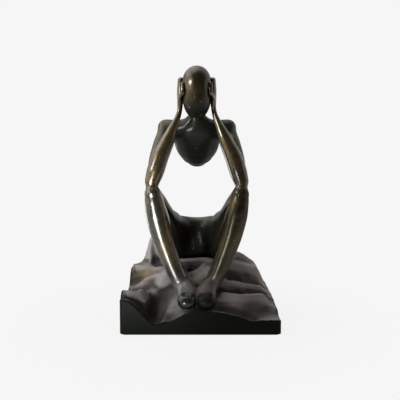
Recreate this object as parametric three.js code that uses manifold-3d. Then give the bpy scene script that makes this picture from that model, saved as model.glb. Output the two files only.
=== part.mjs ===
// Pensive seated figure on a rock: a patinated bronze ornament, cast in sections that are
// dowelled together, bolted down on a hollow rock base and closed below by a felt-covered plate.
// Millimetres, +Z up. The figure faces -Y, so its own left side is +X.
// The origin is on the table, under the middle of the base.
import * as THREE from "three";
import { mergeVertices } from "three/addons/utils/BufferGeometryUtils.js";
import Module from "manifold-3d";

const wasm = await Module();
wasm.setup();

// Fits
const JOINT_GAP = 0.3; // between two castings at a joint face
const DOWEL_CLEARANCE = 0.3; // around a dowel, stud or screw in its hole, and past its end
const PLATE_CLEARANCE = 0.4; // around the closing plate in the base's opening
const FEET_GAP = 1.4; // between the two feet

// Rock base
const BASE_WIDTH = 160;
const BASE_DEPTH = 155;
const BASE_CORNER = 4;
const BASE_WALL = 6;
const BASE_ROOF = 6;
const ROCK_CELL = 4; // spacing of the points that shape the rock's surface
const CAVITY_CELL = 14; // and of those that shape the hollow under it
const PLINTH_HEIGHT = 16; // rock level far from the mound
const MOUND_RISE = 39;
const MOUND_CENTRE_Y = 34;
const MOUND_REACH_X = 80;
const MOUND_REACH_Y = 76;
const FRONT_BANK = 30; // how far in the front edge's own outline is felt
const RIGHT_BANK = 20; // and the side edges' outlines
const LEFT_BANK = 15;

// Underside
const FELT_THICKNESS = 1;
const FELT_INSET = 1.5;
const PLATE_THICKNESS = 3;
const PLATE_CORNER = 1;
const POST_RADIUS = 6;
const POST_INSET = 11.5; // post centre to the outside of the base
const SCREW_RADIUS = 1.6;
const SCREW_HEAD_RADIUS = 3.4;
const SCREW_HEAD_HEIGHT = 1.9;
const SCREW_LENGTH = 8.5;
const SCREW_SLOT_WIDTH = 0.8;
const SCREW_SLOT_DEPTH = 0.9;

// Fineness: sides of round sections, and steps between two stops of a loft
const HEAD_SIDES = 22;
const HEAD_BANDS = 18;
const CHEST_SIDES = 22;
const LAP_SIDES = 18;
const LIMB_SIDES = 16;
const THUMB_SIDES = 8;
const POST_SIDES = 20;
const STUD_HOLE_SIDES = 14;
const SCREW_SIDES = 12;
const DOWEL_SIDES = 10;
const CORNER_STEPS = 5;
const RING_STEPS = 7;
const LOFT_STEPS = 2;
const UPPER_ARM_STEPS = 3;
const CAP_STEPS = 4;
const GIRTH_TENSION = 0.4;

// Legs: places are measured outward from the figure's middle, along Y and up from the table
const FIGURE_X = -3.9; // the figure's middle, beside the middle of the base
const SEAT_Y = 46;
const SEAT_SINK = 4; // how far the hips are bedded into the rock
const LAP_HALF_HEIGHT = 25.5;
const LAP_HALF_DEPTH = 15;
const HIP_OUT = 25;
const HIP_FORWARD = 13; // hip joint in front of the seat
const HIP_RISE = 5.5; // hip joint above the middle of the lap
const FLANK_OUT = 0.62; // share of the way to the hip where the lap is still at its full height
const FLANK_FORWARD = 0.28;
const KNEE_OUT = 45.5;
const KNEE_Y = -37;
const KNEE_HEIGHT = 137;
const ANKLE_OUT = 14.5;
const ANKLE_Y = -41.5;
const ANKLE_RISE = 17; // ankle above the sole
const HEEL_OUT = 10.6;
const HEEL_Y = -38;
const SOLE_SINK = 2.4; // how far the foot is bedded into the rock
const FOOT_LENGTH = 30; // heel centre to the start of the rounded toe
const FOOT_HALF_WIDTH = 9.3;
const FOOT_HALF_HEIGHT = 7.2;
const TOE_ROUNDING = 0.6; // share of the foot's half width that its ends round off
const INSTEP = { forward: 0.2, rise: 1.2, wide: 0.8, deep: 1.1, cap: 0.5 }; // shares of the foot's sizes
const THIGH_RADIUS = 13;
const SHIN_RADIUS = 11.6;

// Torso, head and arms
const SHOULDER_OUT = 34.3;
const SHOULDER_Y = 12;
const SHOULDER_HEIGHT = 207.5;
const SHOULDER_RADIUS = 8.6;
const YOKE_SWAY = 5; // the shoulders' line bows forward in the middle
const YOKE_DIP = 0.86; // and dips there
const CHEST_DROP = 42.7; // tip of the chest below the shoulders
const CHEST_BACK = 17; // and behind them
const CHEST_HALF_DEPTH = 15.4;
const CHEST_TIP_ROUNDING = 2.8;
const NECK_RISE = 13.5; // top of the neck above the shoulders
const NECK_FORWARD = 18;
const NECK_RADIUS = 5.7;
const NECK_RUN = 0.3; // share of the way to the head's middle that the neck runs on, to be coped
const NECK_END_ROUNDING = 1.7;
const HEAD_RISE = 28; // the head's widest section above the top of the neck
const HEAD_FORWARD = 17;
const HEAD_HALF_WIDTH = 15.7;
const HEAD_HALF_DEPTH = 18.6;
const CROWN_RISE = 21.1; // crown above the widest section
const CHIN_DROP = 33; // chin below the widest section
const CROWN_ROUNDNESS = 2.2; // 2 is an ellipse, more is fuller
const CHIN_ROUNDNESS = 2.6;
const HEAD_NOD = 7; // degrees that the crown tips forward
const ELBOW_OUT = 1.6; // elbow beyond the knee that carries it
const ELBOW_BACK = 3;
const ELBOW_RISE = 12.7;
const UPPER_ARM_RADIUS = 8.5;
const STUB_SHARE = 0.22; // how much of the upper arm is cast on the torso
const FOREARM_RADIUS = 9.4;
const WRIST_DROP = 25; // wrist below the head's widest section
const WRIST_BACK = 3; // and behind it
const HAND_LENGTH = 36;
const HAND_HALF_THICKNESS = 2.7;
const HAND_HALF_BREADTH = 7.2;
const WRIST_INWARD = 0.33; // share of the hand's half thickness
const FINGER_ROUNDING = 2.5;
const THUMB_RADIUS = 1.9;
const THUMB_FORWARD = 8; // thumb in front of the head's widest section

// Dowels, studs and nuts
const DOWEL_RADIUS = 2;
const DOWEL_CHAMFER = 0.25; // share of its radius
const DOWEL_LENGTH = 16;
const LIMB_DOWEL_LENGTH = 14;
const ELBOW_DOWEL_UP = 10; // dowel from the elbow, up the crook of the arm
const KNEE_DOWEL_DOWN = 12; // dowel from the knee, down the hollow of the leg
const TEMPLE_PIN_RADIUS = 1.1;
const TEMPLE_PIN_LENGTH = 6;
const FOOT_STUD_RADIUS = 2;
const FOOT_STUD_FORWARD = 14; // stud in front of the heel
const FOOT_STUD_GRIP = 7; // thread inside the foot
const SEAT_STUD_RADIUS = 3;
const SEAT_STUD_GRIP = 14;
const BOSS_DEPTH = 11; // from the rock surface down to the washer's seat
const BOSS_MARGIN = 2; // boss around its washer
const WASHER_ROOM = 1; // free space around a washer
const WASHER_THICKNESS = 1;
const STUD_TAIL = 1.5; // thread below the nut
const WASHER_RATIO = 2.2; // washer radius over its stud's radius
const NUT_RATIO = 2; // nut corner radius over its stud's radius
const NUT_HEIGHT_RATIO = 1.6;

// Girths along each limb, as shares of its radius:
// [share of the way, bow outward, bow back, half width, half depth]
const SHIN_GIRTHS = [
  [0, 0.02, 0, 0.74, 0.74],
  [0.1, 0.13, 0.05, 0.88, 0.88],
  [0.24, 0.26, 0.09, 1, 1],
  [0.45, 0.38, 0.14, 0.965, 1],
  [0.67, 0.345, 0.1, 0.855, 0.86],
  [0.83, 0.24, 0.035, 0.76, 0.76],
  [1, 0, 0, 0.705, 0.73],
];
const THIGH_GIRTHS = [
  [0, 0, 0, 0.69, 0.69],
  [0.22, 0.1, 0, 0.87, 0.9],
  [0.5, 0.15, 0, 1.03, 1.04],
  [0.78, 0.1, 0, 1.47, 1.17],
  [1, 0, 0, 1.9, 1.18],
];
const UPPER_ARM_GIRTHS = [
  [0, 0, 0, 1, 1],
  [0.3, 0.16, 0, 0.905, 0.94],
  [0.6, 0.21, 0, 0.845, 0.895],
  [1, 0.05, 0, 0.87, 0.895],
];
const FOREARM_GIRTHS = [
  [0, 0.02, 0, 0.925, 0.915],
  [0.15, 0.105, 0, 1, 1],
  [0.33, 0.13, 0, 0.955, 0.98],
  [0.51, 0.065, 0, 0.83, 0.87],
  [0.7, -0.04, 0, 0.67, 0.725],
  [0.87, -0.075, 0, 0.53, 0.585],
  [1, 0, 0, 0.445, 0.555],
];
// The chest from its tip up to the neck: [share of the way, lean forward and half depth as shares
// of the chest's half depth, half width as a share of the shoulders' half width]
const CHEST_GIRTHS = [
  [0.04, 0, 0.487, 0.277],
  [0.12, -0.026, 0.68, 0.455],
  [0.3, -0.04, 0.91, 0.653],
  [0.48, 0, 1, 0.758],
  [0.66, 0.065, 0.974, 0.793],
  [0.78, 0.104, 0.844, 0.73],
  [0.86, 0.104, 0.65, 0.496],
];
// The neck above it: [share of the same way, half width, half depth], as shares of its radius
const NECK_GIRTHS = [
  [0.91, 1.58, 1.3],
  [0.96, 1.09, 1.05],
  [1, 1, 1],
];
// A foot from its heel to its toes: [share of the way, half width, half height], as shares
const FOOT_GIRTHS = [
  [0, 0.8, 0.97],
  [0.33, 0.88, 1.02],
  [0.67, 0.99, 0.88],
  [1, 1, 0.77],
];
// A hand above its wrist: [share of its length, inward as a share of its half thickness, back,
// half breadth and half thickness as shares]. The temple pin is at the knuckles.
const PALM = [0.32, 0.08, 1, 0.95, 1.15];
const KNUCKLES = [0.66, 0, 2, 1, 1];
const FINGERTIPS = [0.93, 0.45, 2, 0.82, 0.85];
// The thumb's root: [share of the hand's length, inward as a share of its half thickness, forward
// as a share of its half breadth, radius as a share]
const THUMB_ROOT = [
  [0.12, 0.3, 0.2, 1.2],
  [0.3, 0.4, 0.8, 1.15],
];
// Its end along the cheek: [share of the hand's length, radius as a share]
const THUMB_END = [
  [0.5, 1.05],
  [0.72, 0.9],
];
const THUMB_BEDDING = 0.7; // share of the thumb's radius that stands off the cheek

// The front edge's height at places along X.
const FRONT_OUTLINE = [
  [-80, 37],
  [-70, 33.5],
  [-57, 21.5],
  [-48, 13],
  [-38, 11],
  [-28, 14.5],
  [-16, 22],
  [-4, 26.5],
  [10, 24.5],
  [30, 21],
  [48, 16.8],
  [60, 15],
  [80, 15],
];
// The height of the edge on the figure's right at places along Y.
const RIGHT_OUTLINE = [
  [-78, 37],
  [-66, 40.5],
  [-50, 39],
  [-30, 30],
  [-8, 26],
  [6, 32],
  [18, 42],
  [36, 45],
  [60, 43],
  [78, 40],
];
// The height of the edge on the figure's left at places along Y.
const LEFT_OUTLINE = [
  [-78, 14.5],
  [-60, 14.5],
  [-47, 16.8],
  [-34, 19.2],
  [10, 20.5],
  [78, 21],
];
// Ledges: [x, y of one end, x, y of the other end, rise, reach to the front, reach to the back]
const LEDGES = [
  [-80, -66, -62, -60, 22, 9, 17],
  [-60, -42, -34, -16, 11, 9, 20],
  [-70, 24, -58, 34, 6, 10, 18],
  [-74, 64, -64, 54, 9, 12, 14],
  [-58, 59, -47, 61, 30, 9, 9],
  [22, -52, 66, -38, 6, 9, 16],
  [38, -14, 66, -6, 4, 9, 18],
  [42, 46, 64, 57, 16, 15, 22],
  [0, -24, 12, -6, 4, 7, 12],
];
// Folds: [rise, or drop below 0, half width, points [x, y] of its line]
const FOLDS = [
  [2, 5, [[-80, -60], [-66, -56], [-55, -46]]],
  [-5, 8, [[-80, -20], [-62, -18], [-50, -28]]],
  [3, 5, [[-80, -2], [-64, 0], [-50, -6]]],
  [-7, 13, [[-50, -44], [-46, -56]]],
  [3, 5, [[-22, -48], [-31, -55], [-37, -61], [-37, -73]]],
  [3, 8, [[-72, 22], [-60, 20], [-48, 12]]],
  [-5, 5, [[-53, 50], [-53, 34], [-44, 24]]],
  [-2.4, 5, [[-20, 8], [-14, -2], [-14, -14]]],
  [-5, 5, [[19, -33], [32, -34.5], [48, -30], [68, -16]]],
  [3.5, 6, [[24, -45], [44, -45], [66, -32]]],
  [-3, 7, [[20, -64], [36, -66], [50, -72]]],
  [3, 7, [[44, -57], [60, -53], [74, -46]]],
  [-9, 8, [[33, -6], [48, -2], [64, 8]]],
  [6, 8, [[32, 17], [52, 23], [68, 36]]],
  [-3, 5, [[44, 36], [58, 45], [70, 60]]],
  [3, 5, [[74, -14], [75, 8], [73, 30]]],
  [-4, 8, [[-36, 72], [-20, 75], [-4, 70]]],
  [3.5, 8, [[2, 74], [22, 70], [40, 75]]],
  [-3, 5, [[24, 60], [34, 67], [36, 77]]],
  [3, 6, [[-76, 42], [-66, 46], [-56, 44]]],
];
// Plain rock under the figure: [reach along X, reach along Y] from the middle of what stands there,
// and the shares of that reach between which the folds set in.
const SEAT_REST = [46, 24];
const SOLE_REST = [24, 22];
const REST_FADE = [0.8, 1.1];

const PATINA = new THREE.MeshStandardMaterial({ color: 0x2b2419, roughness: 0.32, metalness: 0.8 });
const ROCK_PATINA = new THREE.MeshStandardMaterial({ color: 0x35291f, roughness: 0.5, metalness: 0.6 });
const STEEL = new THREE.MeshStandardMaterial({ color: 0x8f9296, roughness: 0.4, metalness: 1 });
const BRASS = new THREE.MeshStandardMaterial({ color: 0xa98447, roughness: 0.35, metalness: 1 });
const FELT = new THREE.MeshStandardMaterial({ color: 0x1f3526, roughness: 1, metalness: 0 });
const BOARD = new THREE.MeshStandardMaterial({ color: 0x6b5136, roughness: 0.8, metalness: 0 });

const { clamp, degToRad, lerp, smoothstep } = THREE.MathUtils;
const vec = (x, y, z) => new THREE.Vector3(x, y, z);
const opposite = (direction) => direction.clone().negate();
const X_AXIS = vec(1, 0, 0);
const Y_AXIS = vec(0, 1, 0);
const Z_AXIS = vec(0, 0, 1);
const SIDES = { right: -1, left: 1 };

const part = new THREE.Group();

function addMesh(name, geometry, material) {
  const mesh = new THREE.Mesh(geometry, material);
  mesh.name = name;
  part.add(mesh);
  return mesh;
}

// Solids and their booleans

function solidOf(geometry, matrix) {
  const bare = new THREE.BufferGeometry();
  bare.setAttribute("position", geometry.getAttribute("position").clone());
  bare.setIndex(geometry.getIndex());
  if (matrix) bare.applyMatrix4(matrix);
  const merged = mergeVertices(bare, 1e-4);
  return new wasm.Manifold(
    new wasm.Mesh({
      numProp: 3,
      vertProperties: merged.getAttribute("position").array,
      triVerts: new Uint32Array(merged.getIndex().array),
    }),
  );
}

function geometryOf(solid) {
  const mesh = solid.getMesh();
  const geometry = new THREE.BufferGeometry();
  geometry.setAttribute("position", new THREE.BufferAttribute(mesh.vertProperties, 3));
  geometry.setIndex(new THREE.BufferAttribute(mesh.triVerts, 1));
  geometry.computeVertexNormals();
  return geometry;
}

// The part of a solid past a plane, on the side that its normal points to.
function keepBeyond(solid, point, normal, gap) {
  return solid.trimByPlane([normal.x, normal.y, normal.z], normal.dot(point) + gap);
}

// Cuts a solid back to a plane only near the plane's point, and leaves the rest of it alone.
function trimNear(solid, point, normal, gap) {
  const room = 2 * SHOULDER_OUT;
  const block = solidOf(new THREE.BoxGeometry(room, room, room), new THREE.Matrix4().setPosition(point));
  return solid.subtract(keepBeyond(block, point, opposite(normal), -gap));
}

// A round bar along +Z from z = 0, placed by a matrix.
function bar(radius, length, sides, matrix) {
  const geometry = new THREE.CylinderGeometry(radius, radius, length, sides);
  geometry.rotateX(Math.PI / 2);
  geometry.translate(0, 0, length / 2);
  return solidOf(geometry, matrix);
}

const upright = (x, y, bottom) => new THREE.Matrix4().makeTranslation(x, y, bottom);

// A flat slab with rounded corners in plan.
function slab(width, depth, corner, bottom, top) {
  const x = width / 2 - corner;
  const y = depth / 2 - corner;
  const quarter = Math.PI / 2;
  const shape = new THREE.Shape();
  shape.moveTo(x + corner, y);
  shape.absarc(x, y, corner, 0, quarter);
  shape.absarc(-x, y, corner, quarter, 2 * quarter);
  shape.absarc(-x, -y, corner, 2 * quarter, 3 * quarter);
  shape.absarc(x, -y, corner, 3 * quarter, 4 * quarter);
  shape.closePath();
  const options = { depth: top - bottom, bevelEnabled: false, curveSegments: CORNER_STEPS };
  return solidOf(new THREE.ExtrudeGeometry(shape, options), upright(0, 0, bottom));
}

// Lofts: oval rings along a smooth line, closed by a rounded cap at each end.
// Each stop is { at, wide, deep }, and the half size wide lies along the direction across.
function loft(stops, across, { sides, steps, startCap, endCap, capSteps = CAP_STEPS }) {
  const line = new THREE.CatmullRomCurve3(stops.map((stop) => stop.at), false, "centripetal");
  const sizes = stops.map((stop) => vec(stop.wide, stop.deep, 0));
  const girth = new THREE.CatmullRomCurve3(sizes, false, "catmullrom", GIRTH_TENSION);
  const positions = [];
  let ringCount = 0;
  const addRing = (t, scale, shift) => {
    const tangent = line.getTangent(t);
    const centre = line.getPoint(t).addScaledVector(tangent, shift);
    const wideAxis = across.clone().addScaledVector(tangent, -across.dot(tangent)).normalize();
    const deepAxis = tangent.clone().cross(wideAxis);
    const half = girth.getPoint(t).multiplyScalar(scale);
    for (let k = 0; k < sides; k++) {
      const angle = (2 * Math.PI * k) / sides;
      const point = centre.clone();
      point.addScaledVector(wideAxis, half.x * Math.cos(angle));
      point.addScaledVector(deepAxis, half.y * Math.sin(angle));
      positions.push(...point);
    }
    ringCount++;
  };
  for (let k = 1; k < capSteps; k++) {
    const angle = (Math.PI / 2) * (1 - k / capSteps);
    addRing(0, Math.cos(angle), -startCap * Math.sin(angle));
  }
  const count = (stops.length - 1) * steps;
  for (let k = 0; k <= count; k++) addRing(k / count, 1, 0);
  for (let k = 1; k < capSteps; k++) {
    const angle = (Math.PI / 2) * (k / capSteps);
    addRing(1, Math.cos(angle), endCap * Math.sin(angle));
  }
  positions.push(...line.getPoint(0).addScaledVector(line.getTangent(0), -startCap));
  positions.push(...line.getPoint(1).addScaledVector(line.getTangent(1), endCap));

  const startPole = ringCount * sides;
  const endPole = startPole + 1;
  const lastRing = (ringCount - 1) * sides;
  const faces = [];
  for (let k = 0; k < sides; k++) {
    const next = (k + 1) % sides;
    faces.push(startPole, next, k);
    faces.push(endPole, lastRing + k, lastRing + next);
    for (let low = 0; low < lastRing; low += sides) {
      const high = low + sides;
      faces.push(low + k, low + next, high + next);
      faces.push(low + k, high + next, high + k);
    }
  }
  const geometry = new THREE.BufferGeometry();
  geometry.setAttribute("position", new THREE.Float32BufferAttribute(positions, 3));
  geometry.setIndex(faces);
  return geometry;
}

// The stops of a limb between two joints, from its radius and its table of girths.
function limbStops(from, to, radius, girths, side) {
  return girths.map(([share, outward, back, wide, deep]) => ({
    at: from.clone().lerp(to, share).add(vec(side * outward * radius, back * radius, 0)),
    wide: wide * radius,
    deep: deep * radius,
  }));
}

// Rock surface: a mound with ledges and folds, and edges with outlines of their own

const footStudY = HEEL_Y - FOOT_STUD_FORWARD;

// The height of a smooth line through an outline's points.
function outlineHeight(outline, place) {
  const last = outline.length - 1;
  let index = 0;
  while (index < last - 1 && place > outline[index + 1][0]) index++;
  const slopeAt = (k) => {
    const [before, low] = outline[Math.max(k - 1, 0)];
    const [after, high] = outline[Math.min(k + 1, last)];
    return (high - low) / (after - before);
  };
  const [start, startHeight] = outline[index];
  const [end, endHeight] = outline[index + 1];
  const span = end - start;
  const t = clamp((place - start) / span, 0, 1);
  const rest = 1 - t;
  const fromStart = startHeight * (1 + 2 * t) + slopeAt(index) * span * t;
  const fromEnd = endHeight * (3 - 2 * t) - slopeAt(index + 1) * span * rest;
  return fromStart * rest * rest + fromEnd * t * t;
}

function ledgeHeight(x, y, [startX, startY, endX, endY, rise, front, back]) {
  const run = vec(endX - startX, endY - startY, 0);
  const away = vec(x - startX, y - startY, 0);
  const share = clamp(away.dot(run) / run.lengthSq(), 0, 1);
  away.addScaledVector(run, -share);
  const reach = away.y < 0 ? front : back;
  return rise * Math.exp(-(away.x ** 2) / (front * back) - (away.y / reach) ** 2);
}

// A ridge or groove of even width along a line of points.
function foldHeight(x, y, [rise, width, line]) {
  let nearest = Infinity;
  for (let k = 1; k < line.length; k++) {
    const [startX, startY] = line[k - 1];
    const [endX, endY] = line[k];
    const run = vec(endX - startX, endY - startY, 0);
    const away = vec(x - startX, y - startY, 0);
    const share = clamp(away.dot(run) / run.lengthSq(), 0, 1);
    nearest = Math.min(nearest, away.addScaledVector(run, -share).length());
  }
  return rise * Math.exp(-((nearest / width) ** 2));
}

// 0 under the soles and the seat, where the rock stays plain, and 1 away from them.
function besideFigure(x, y) {
  const reachOf = (middleY, [reachX, reachY]) => Math.hypot((x - FIGURE_X) / reachX, (y - middleY) / reachY);
  const nearest = Math.min(reachOf(SEAT_Y, SEAT_REST), reachOf(footStudY, SOLE_REST));
  return smoothstep(nearest, ...REST_FADE);
}

function rockHeight(x, y) {
  const away = Math.hypot((x - FIGURE_X) / MOUND_REACH_X, (y - MOUND_CENTRE_Y) / MOUND_REACH_Y);
  let height = PLINTH_HEIGHT + MOUND_RISE * Math.exp(-(away ** 3));
  for (const ledge of LEDGES) height += ledgeHeight(x, y, ledge);
  const fromRight = smoothstep(x + BASE_WIDTH / 2, 0, RIGHT_BANK);
  const fromLeft = smoothstep(BASE_WIDTH / 2 - x, 0, LEFT_BANK);
  const fromFront = smoothstep(y + BASE_DEPTH / 2, 0, FRONT_BANK);
  height = lerp(outlineHeight(RIGHT_OUTLINE, y), height, fromRight);
  height = lerp(outlineHeight(LEFT_OUTLINE, y), height, fromLeft);
  height = lerp(outlineHeight(FRONT_OUTLINE, x), height, fromFront);
  let folds = 0;
  for (const fold of FOLDS) folds += foldHeight(x, y, fold);
  return height + folds * besideFigure(x, y);
}

// A block with a flat foot at z = bottom and a top that follows height(x, y).
function terrainBlock(width, depth, bottom, columns, rows, height) {
  const geometry = new THREE.PlaneGeometry(width, depth, columns, rows);
  const top = geometry.getAttribute("position");
  for (let k = 0; k < top.count; k++) top.setZ(k, height(top.getX(k), top.getY(k)));
  const positions = [...top.array];
  const faces = [...geometry.getIndex().array];
  const rim = [];
  for (let k = 0; k < columns; k++) rim.push(k);
  for (let k = 0; k < rows; k++) rim.push(k * (columns + 1) + columns);
  for (let k = columns; k > 0; k--) rim.push(rows * (columns + 1) + k);
  for (let k = rows; k > 0; k--) rim.push(k * (columns + 1));
  const firstFoot = top.count;
  for (const k of rim) positions.push(top.getX(k), top.getY(k), bottom);
  const footCentre = firstFoot + rim.length;
  positions.push(0, 0, bottom);
  rim.forEach((here, k) => {
    const next = (k + 1) % rim.length;
    faces.push(here, rim[next], firstFoot + next);
    faces.push(here, firstFoot + next, firstFoot + k);
    faces.push(firstFoot + k, firstFoot + next, footCentre);
  });
  const block = new THREE.BufferGeometry();
  block.setAttribute("position", new THREE.Float32BufferAttribute(positions, 3));
  block.setIndex(faces);
  return solidOf(block);
}

// Levels and places of the underside
const RIM_BOTTOM = FELT_THICKNESS;
const PLATE_TOP = RIM_BOTTOM + PLATE_THICKNESS;

const posts = [];
for (const signY of [-1, 1]) {
  for (const signX of [-1, 1]) {
    posts.push({ x: signX * (BASE_WIDTH / 2 - POST_INSET), y: signY * (BASE_DEPTH / 2 - POST_INSET) });
  }
}

function makeStud(x, y, radius, grip) {
  const surface = rockHeight(x, y);
  const seat = surface - BOSS_DEPTH;
  const nutHeight = NUT_HEIGHT_RATIO * radius;
  const nutBottom = seat - WASHER_THICKNESS - nutHeight;
  return {
    x,
    y,
    radius,
    seat,
    nutHeight,
    nutBottom,
    washerRadius: WASHER_RATIO * radius,
    bottom: nutBottom - STUD_TAIL,
    top: surface + grip,
  };
}

const studs = {
  right_foot: makeStud(FIGURE_X - HEEL_OUT, footStudY, FOOT_STUD_RADIUS, FOOT_STUD_GRIP),
  left_foot: makeStud(FIGURE_X + HEEL_OUT, footStudY, FOOT_STUD_RADIUS, FOOT_STUD_GRIP),
  seat: makeStud(FIGURE_X, SEAT_Y, SEAT_STUD_RADIUS, SEAT_STUD_GRIP),
};

// The hole for a stud, through the boss and on into the casting above.
function studHole(stud) {
  const bottom = stud.seat - WASHER_THICKNESS;
  const length = stud.top + DOWEL_CLEARANCE - bottom;
  return bar(stud.radius + DOWEL_CLEARANCE, length, STUD_HOLE_SIDES, upright(stud.x, stud.y, bottom));
}

function makeCavity(tallest) {
  const width = BASE_WIDTH - 2 * BASE_WALL;
  const depth = BASE_DEPTH - 2 * BASE_WALL;
  const columns = Math.round(width / CAVITY_CELL);
  const rows = Math.round(depth / CAVITY_CELL);
  const reach = width / columns / 2;
  // The ceiling keeps the roof's thickness under the lowest rock around each of its points.
  const ceiling = (x, y) => {
    let lowest = Infinity;
    for (const stepX of [-1, -0.5, 0, 0.5, 1]) {
      for (const stepY of [-1, -0.5, 0, 0.5, 1]) {
        lowest = Math.min(lowest, rockHeight(x + stepX * reach, y + stepY * reach));
      }
    }
    return Math.max(lowest - BASE_ROOF, PLATE_TOP + JOINT_GAP);
  };
  let cavity = terrainBlock(width, depth, RIM_BOTTOM, columns, rows, ceiling);
  for (const post of posts) {
    cavity = cavity.subtract(bar(POST_RADIUS, tallest, POST_SIDES, upright(post.x, post.y, PLATE_TOP)));
  }
  for (const stud of Object.values(studs)) {
    const { x, y, seat, washerRadius } = stud;
    const boss = bar(washerRadius + BOSS_MARGIN, tallest, POST_SIDES, upright(x, y, seat));
    const room = washerRadius + WASHER_ROOM;
    const pocket = bar(room, seat - RIM_BOTTOM, POST_SIDES, upright(x, y, RIM_BOTTOM));
    cavity = cavity.subtract(boss).add(pocket);
  }
  return cavity;
}

const columns = Math.round(BASE_WIDTH / ROCK_CELL);
const rows = Math.round(BASE_DEPTH / ROCK_CELL);
const terrain = terrainBlock(BASE_WIDTH, BASE_DEPTH, RIM_BOTTOM, columns, rows, rockHeight);
const bedding = terrain.translate([0, 0, JOINT_GAP]); // the rock surface, raised by the joint's gap

function makeRock() {
  const tallest = 2 * KNEE_HEIGHT;
  let rock = terrain.intersect(slab(BASE_WIDTH, BASE_DEPTH, BASE_CORNER, RIM_BOTTOM, tallest));
  rock = rock.subtract(makeCavity(tallest));
  for (const post of posts) {
    const radius = SCREW_RADIUS + DOWEL_CLEARANCE;
    const length = SCREW_LENGTH + DOWEL_CLEARANCE;
    rock = rock.subtract(bar(radius, length, SCREW_SIDES, upright(post.x, post.y, RIM_BOTTOM)));
  }
  for (const stud of Object.values(studs)) rock = rock.subtract(studHole(stud));
  return rock;
}

// The figure's joints on one side

const underFeet = [-HEEL_OUT, HEEL_OUT].map((out) => rockHeight(FIGURE_X + out, footStudY));
const soleHeight = (underFeet[0] + underFeet[1]) / 2 - SOLE_SINK;
const lapCentre = vec(FIGURE_X, SEAT_Y, rockHeight(FIGURE_X, SEAT_Y) - SEAT_SINK + LAP_HALF_HEIGHT);
const neckTop = vec(FIGURE_X, SHOULDER_Y - NECK_FORWARD, SHOULDER_HEIGHT + NECK_RISE);
const headCentre = neckTop.clone().add(vec(0, -HEAD_FORWARD, HEAD_RISE));

function jointsOf(side) {
  const at = (out, y, z) => vec(FIGURE_X + side * out, y, z);
  const knee = at(KNEE_OUT, KNEE_Y, KNEE_HEIGHT);
  const handOut = HEAD_HALF_WIDTH + HAND_HALF_THICKNESS;
  const hand = (share, inward, back) =>
    at(
      handOut - inward * HAND_HALF_THICKNESS,
      headCentre.y + WRIST_BACK + back,
      headCentre.z - WRIST_DROP + share * HAND_LENGTH,
    );
  return {
    knee,
    elbow: knee.clone().add(vec(side * ELBOW_OUT, ELBOW_BACK, ELBOW_RISE)),
    hip: at(HIP_OUT, SEAT_Y - HIP_FORWARD, lapCentre.z + HIP_RISE),
    ankle: at(ANKLE_OUT, ANKLE_Y, soleHeight + ANKLE_RISE),
    heel: at(HEEL_OUT, HEEL_Y, soleHeight),
    shoulder: at(SHOULDER_OUT, SHOULDER_Y, SHOULDER_HEIGHT),
    wrist: hand(0, WRIST_INWARD, 0),
    hand,
  };
}

// Joint faces between the castings

// The plane between two limbs that leave a joint towards a and b.
function planeBetween(joint, a, b) {
  const towardsA = a.clone().sub(joint).normalize();
  const towardsB = b.clone().sub(joint).normalize();
  return {
    point: joint.clone(),
    normal: towardsA.clone().sub(towardsB).normalize(),
    middle: towardsA.clone().add(towardsB).normalize(),
  };
}

function facesOf(joints) {
  const { shoulder, elbow, wrist, hip, knee, ankle } = joints;
  return {
    knee: planeBetween(knee, hip, ankle),
    elbow: planeBetween(elbow, shoulder, wrist),
    rest: { point: knee.clone().lerp(elbow, 0.5), normal: Z_AXIS },
    shoulder: {
      point: shoulder.clone().lerp(elbow, STUB_SHARE),
      normal: elbow.clone().sub(shoulder).normalize(),
    },
  };
}

// Dowels: { centre, direction, radius, length }

function dowelMatrix({ centre, direction }, length) {
  const turn = new THREE.Quaternion().setFromUnitVectors(Z_AXIS, direction);
  const start = centre.clone().addScaledVector(direction, -length / 2);
  return new THREE.Matrix4().compose(start, turn, vec(1, 1, 1));
}

function drill(solid, dowels) {
  let drilled = solid;
  for (const dowel of dowels) {
    const length = dowel.length + 2 * DOWEL_CLEARANCE;
    const hole = bar(dowel.radius + DOWEL_CLEARANCE, length, DOWEL_SIDES, dowelMatrix(dowel, length));
    drilled = drilled.subtract(hole);
  }
  return drilled;
}

function addDowel(name, dowel, material) {
  const { radius, length } = dowel;
  const chamfer = DOWEL_CHAMFER * radius;
  const profile = [
    new THREE.Vector2(0, 0),
    new THREE.Vector2(radius - chamfer, 0),
    new THREE.Vector2(radius, chamfer),
    new THREE.Vector2(radius, length - chamfer),
    new THREE.Vector2(radius - chamfer, length),
    new THREE.Vector2(0, length),
  ];
  const geometry = new THREE.LatheGeometry(profile, DOWEL_SIDES).rotateX(Math.PI / 2);
  const mesh = addMesh(name, geometry, material);
  dowelMatrix(dowel, length).decompose(mesh.position, mesh.quaternion, mesh.scale);
}

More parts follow.
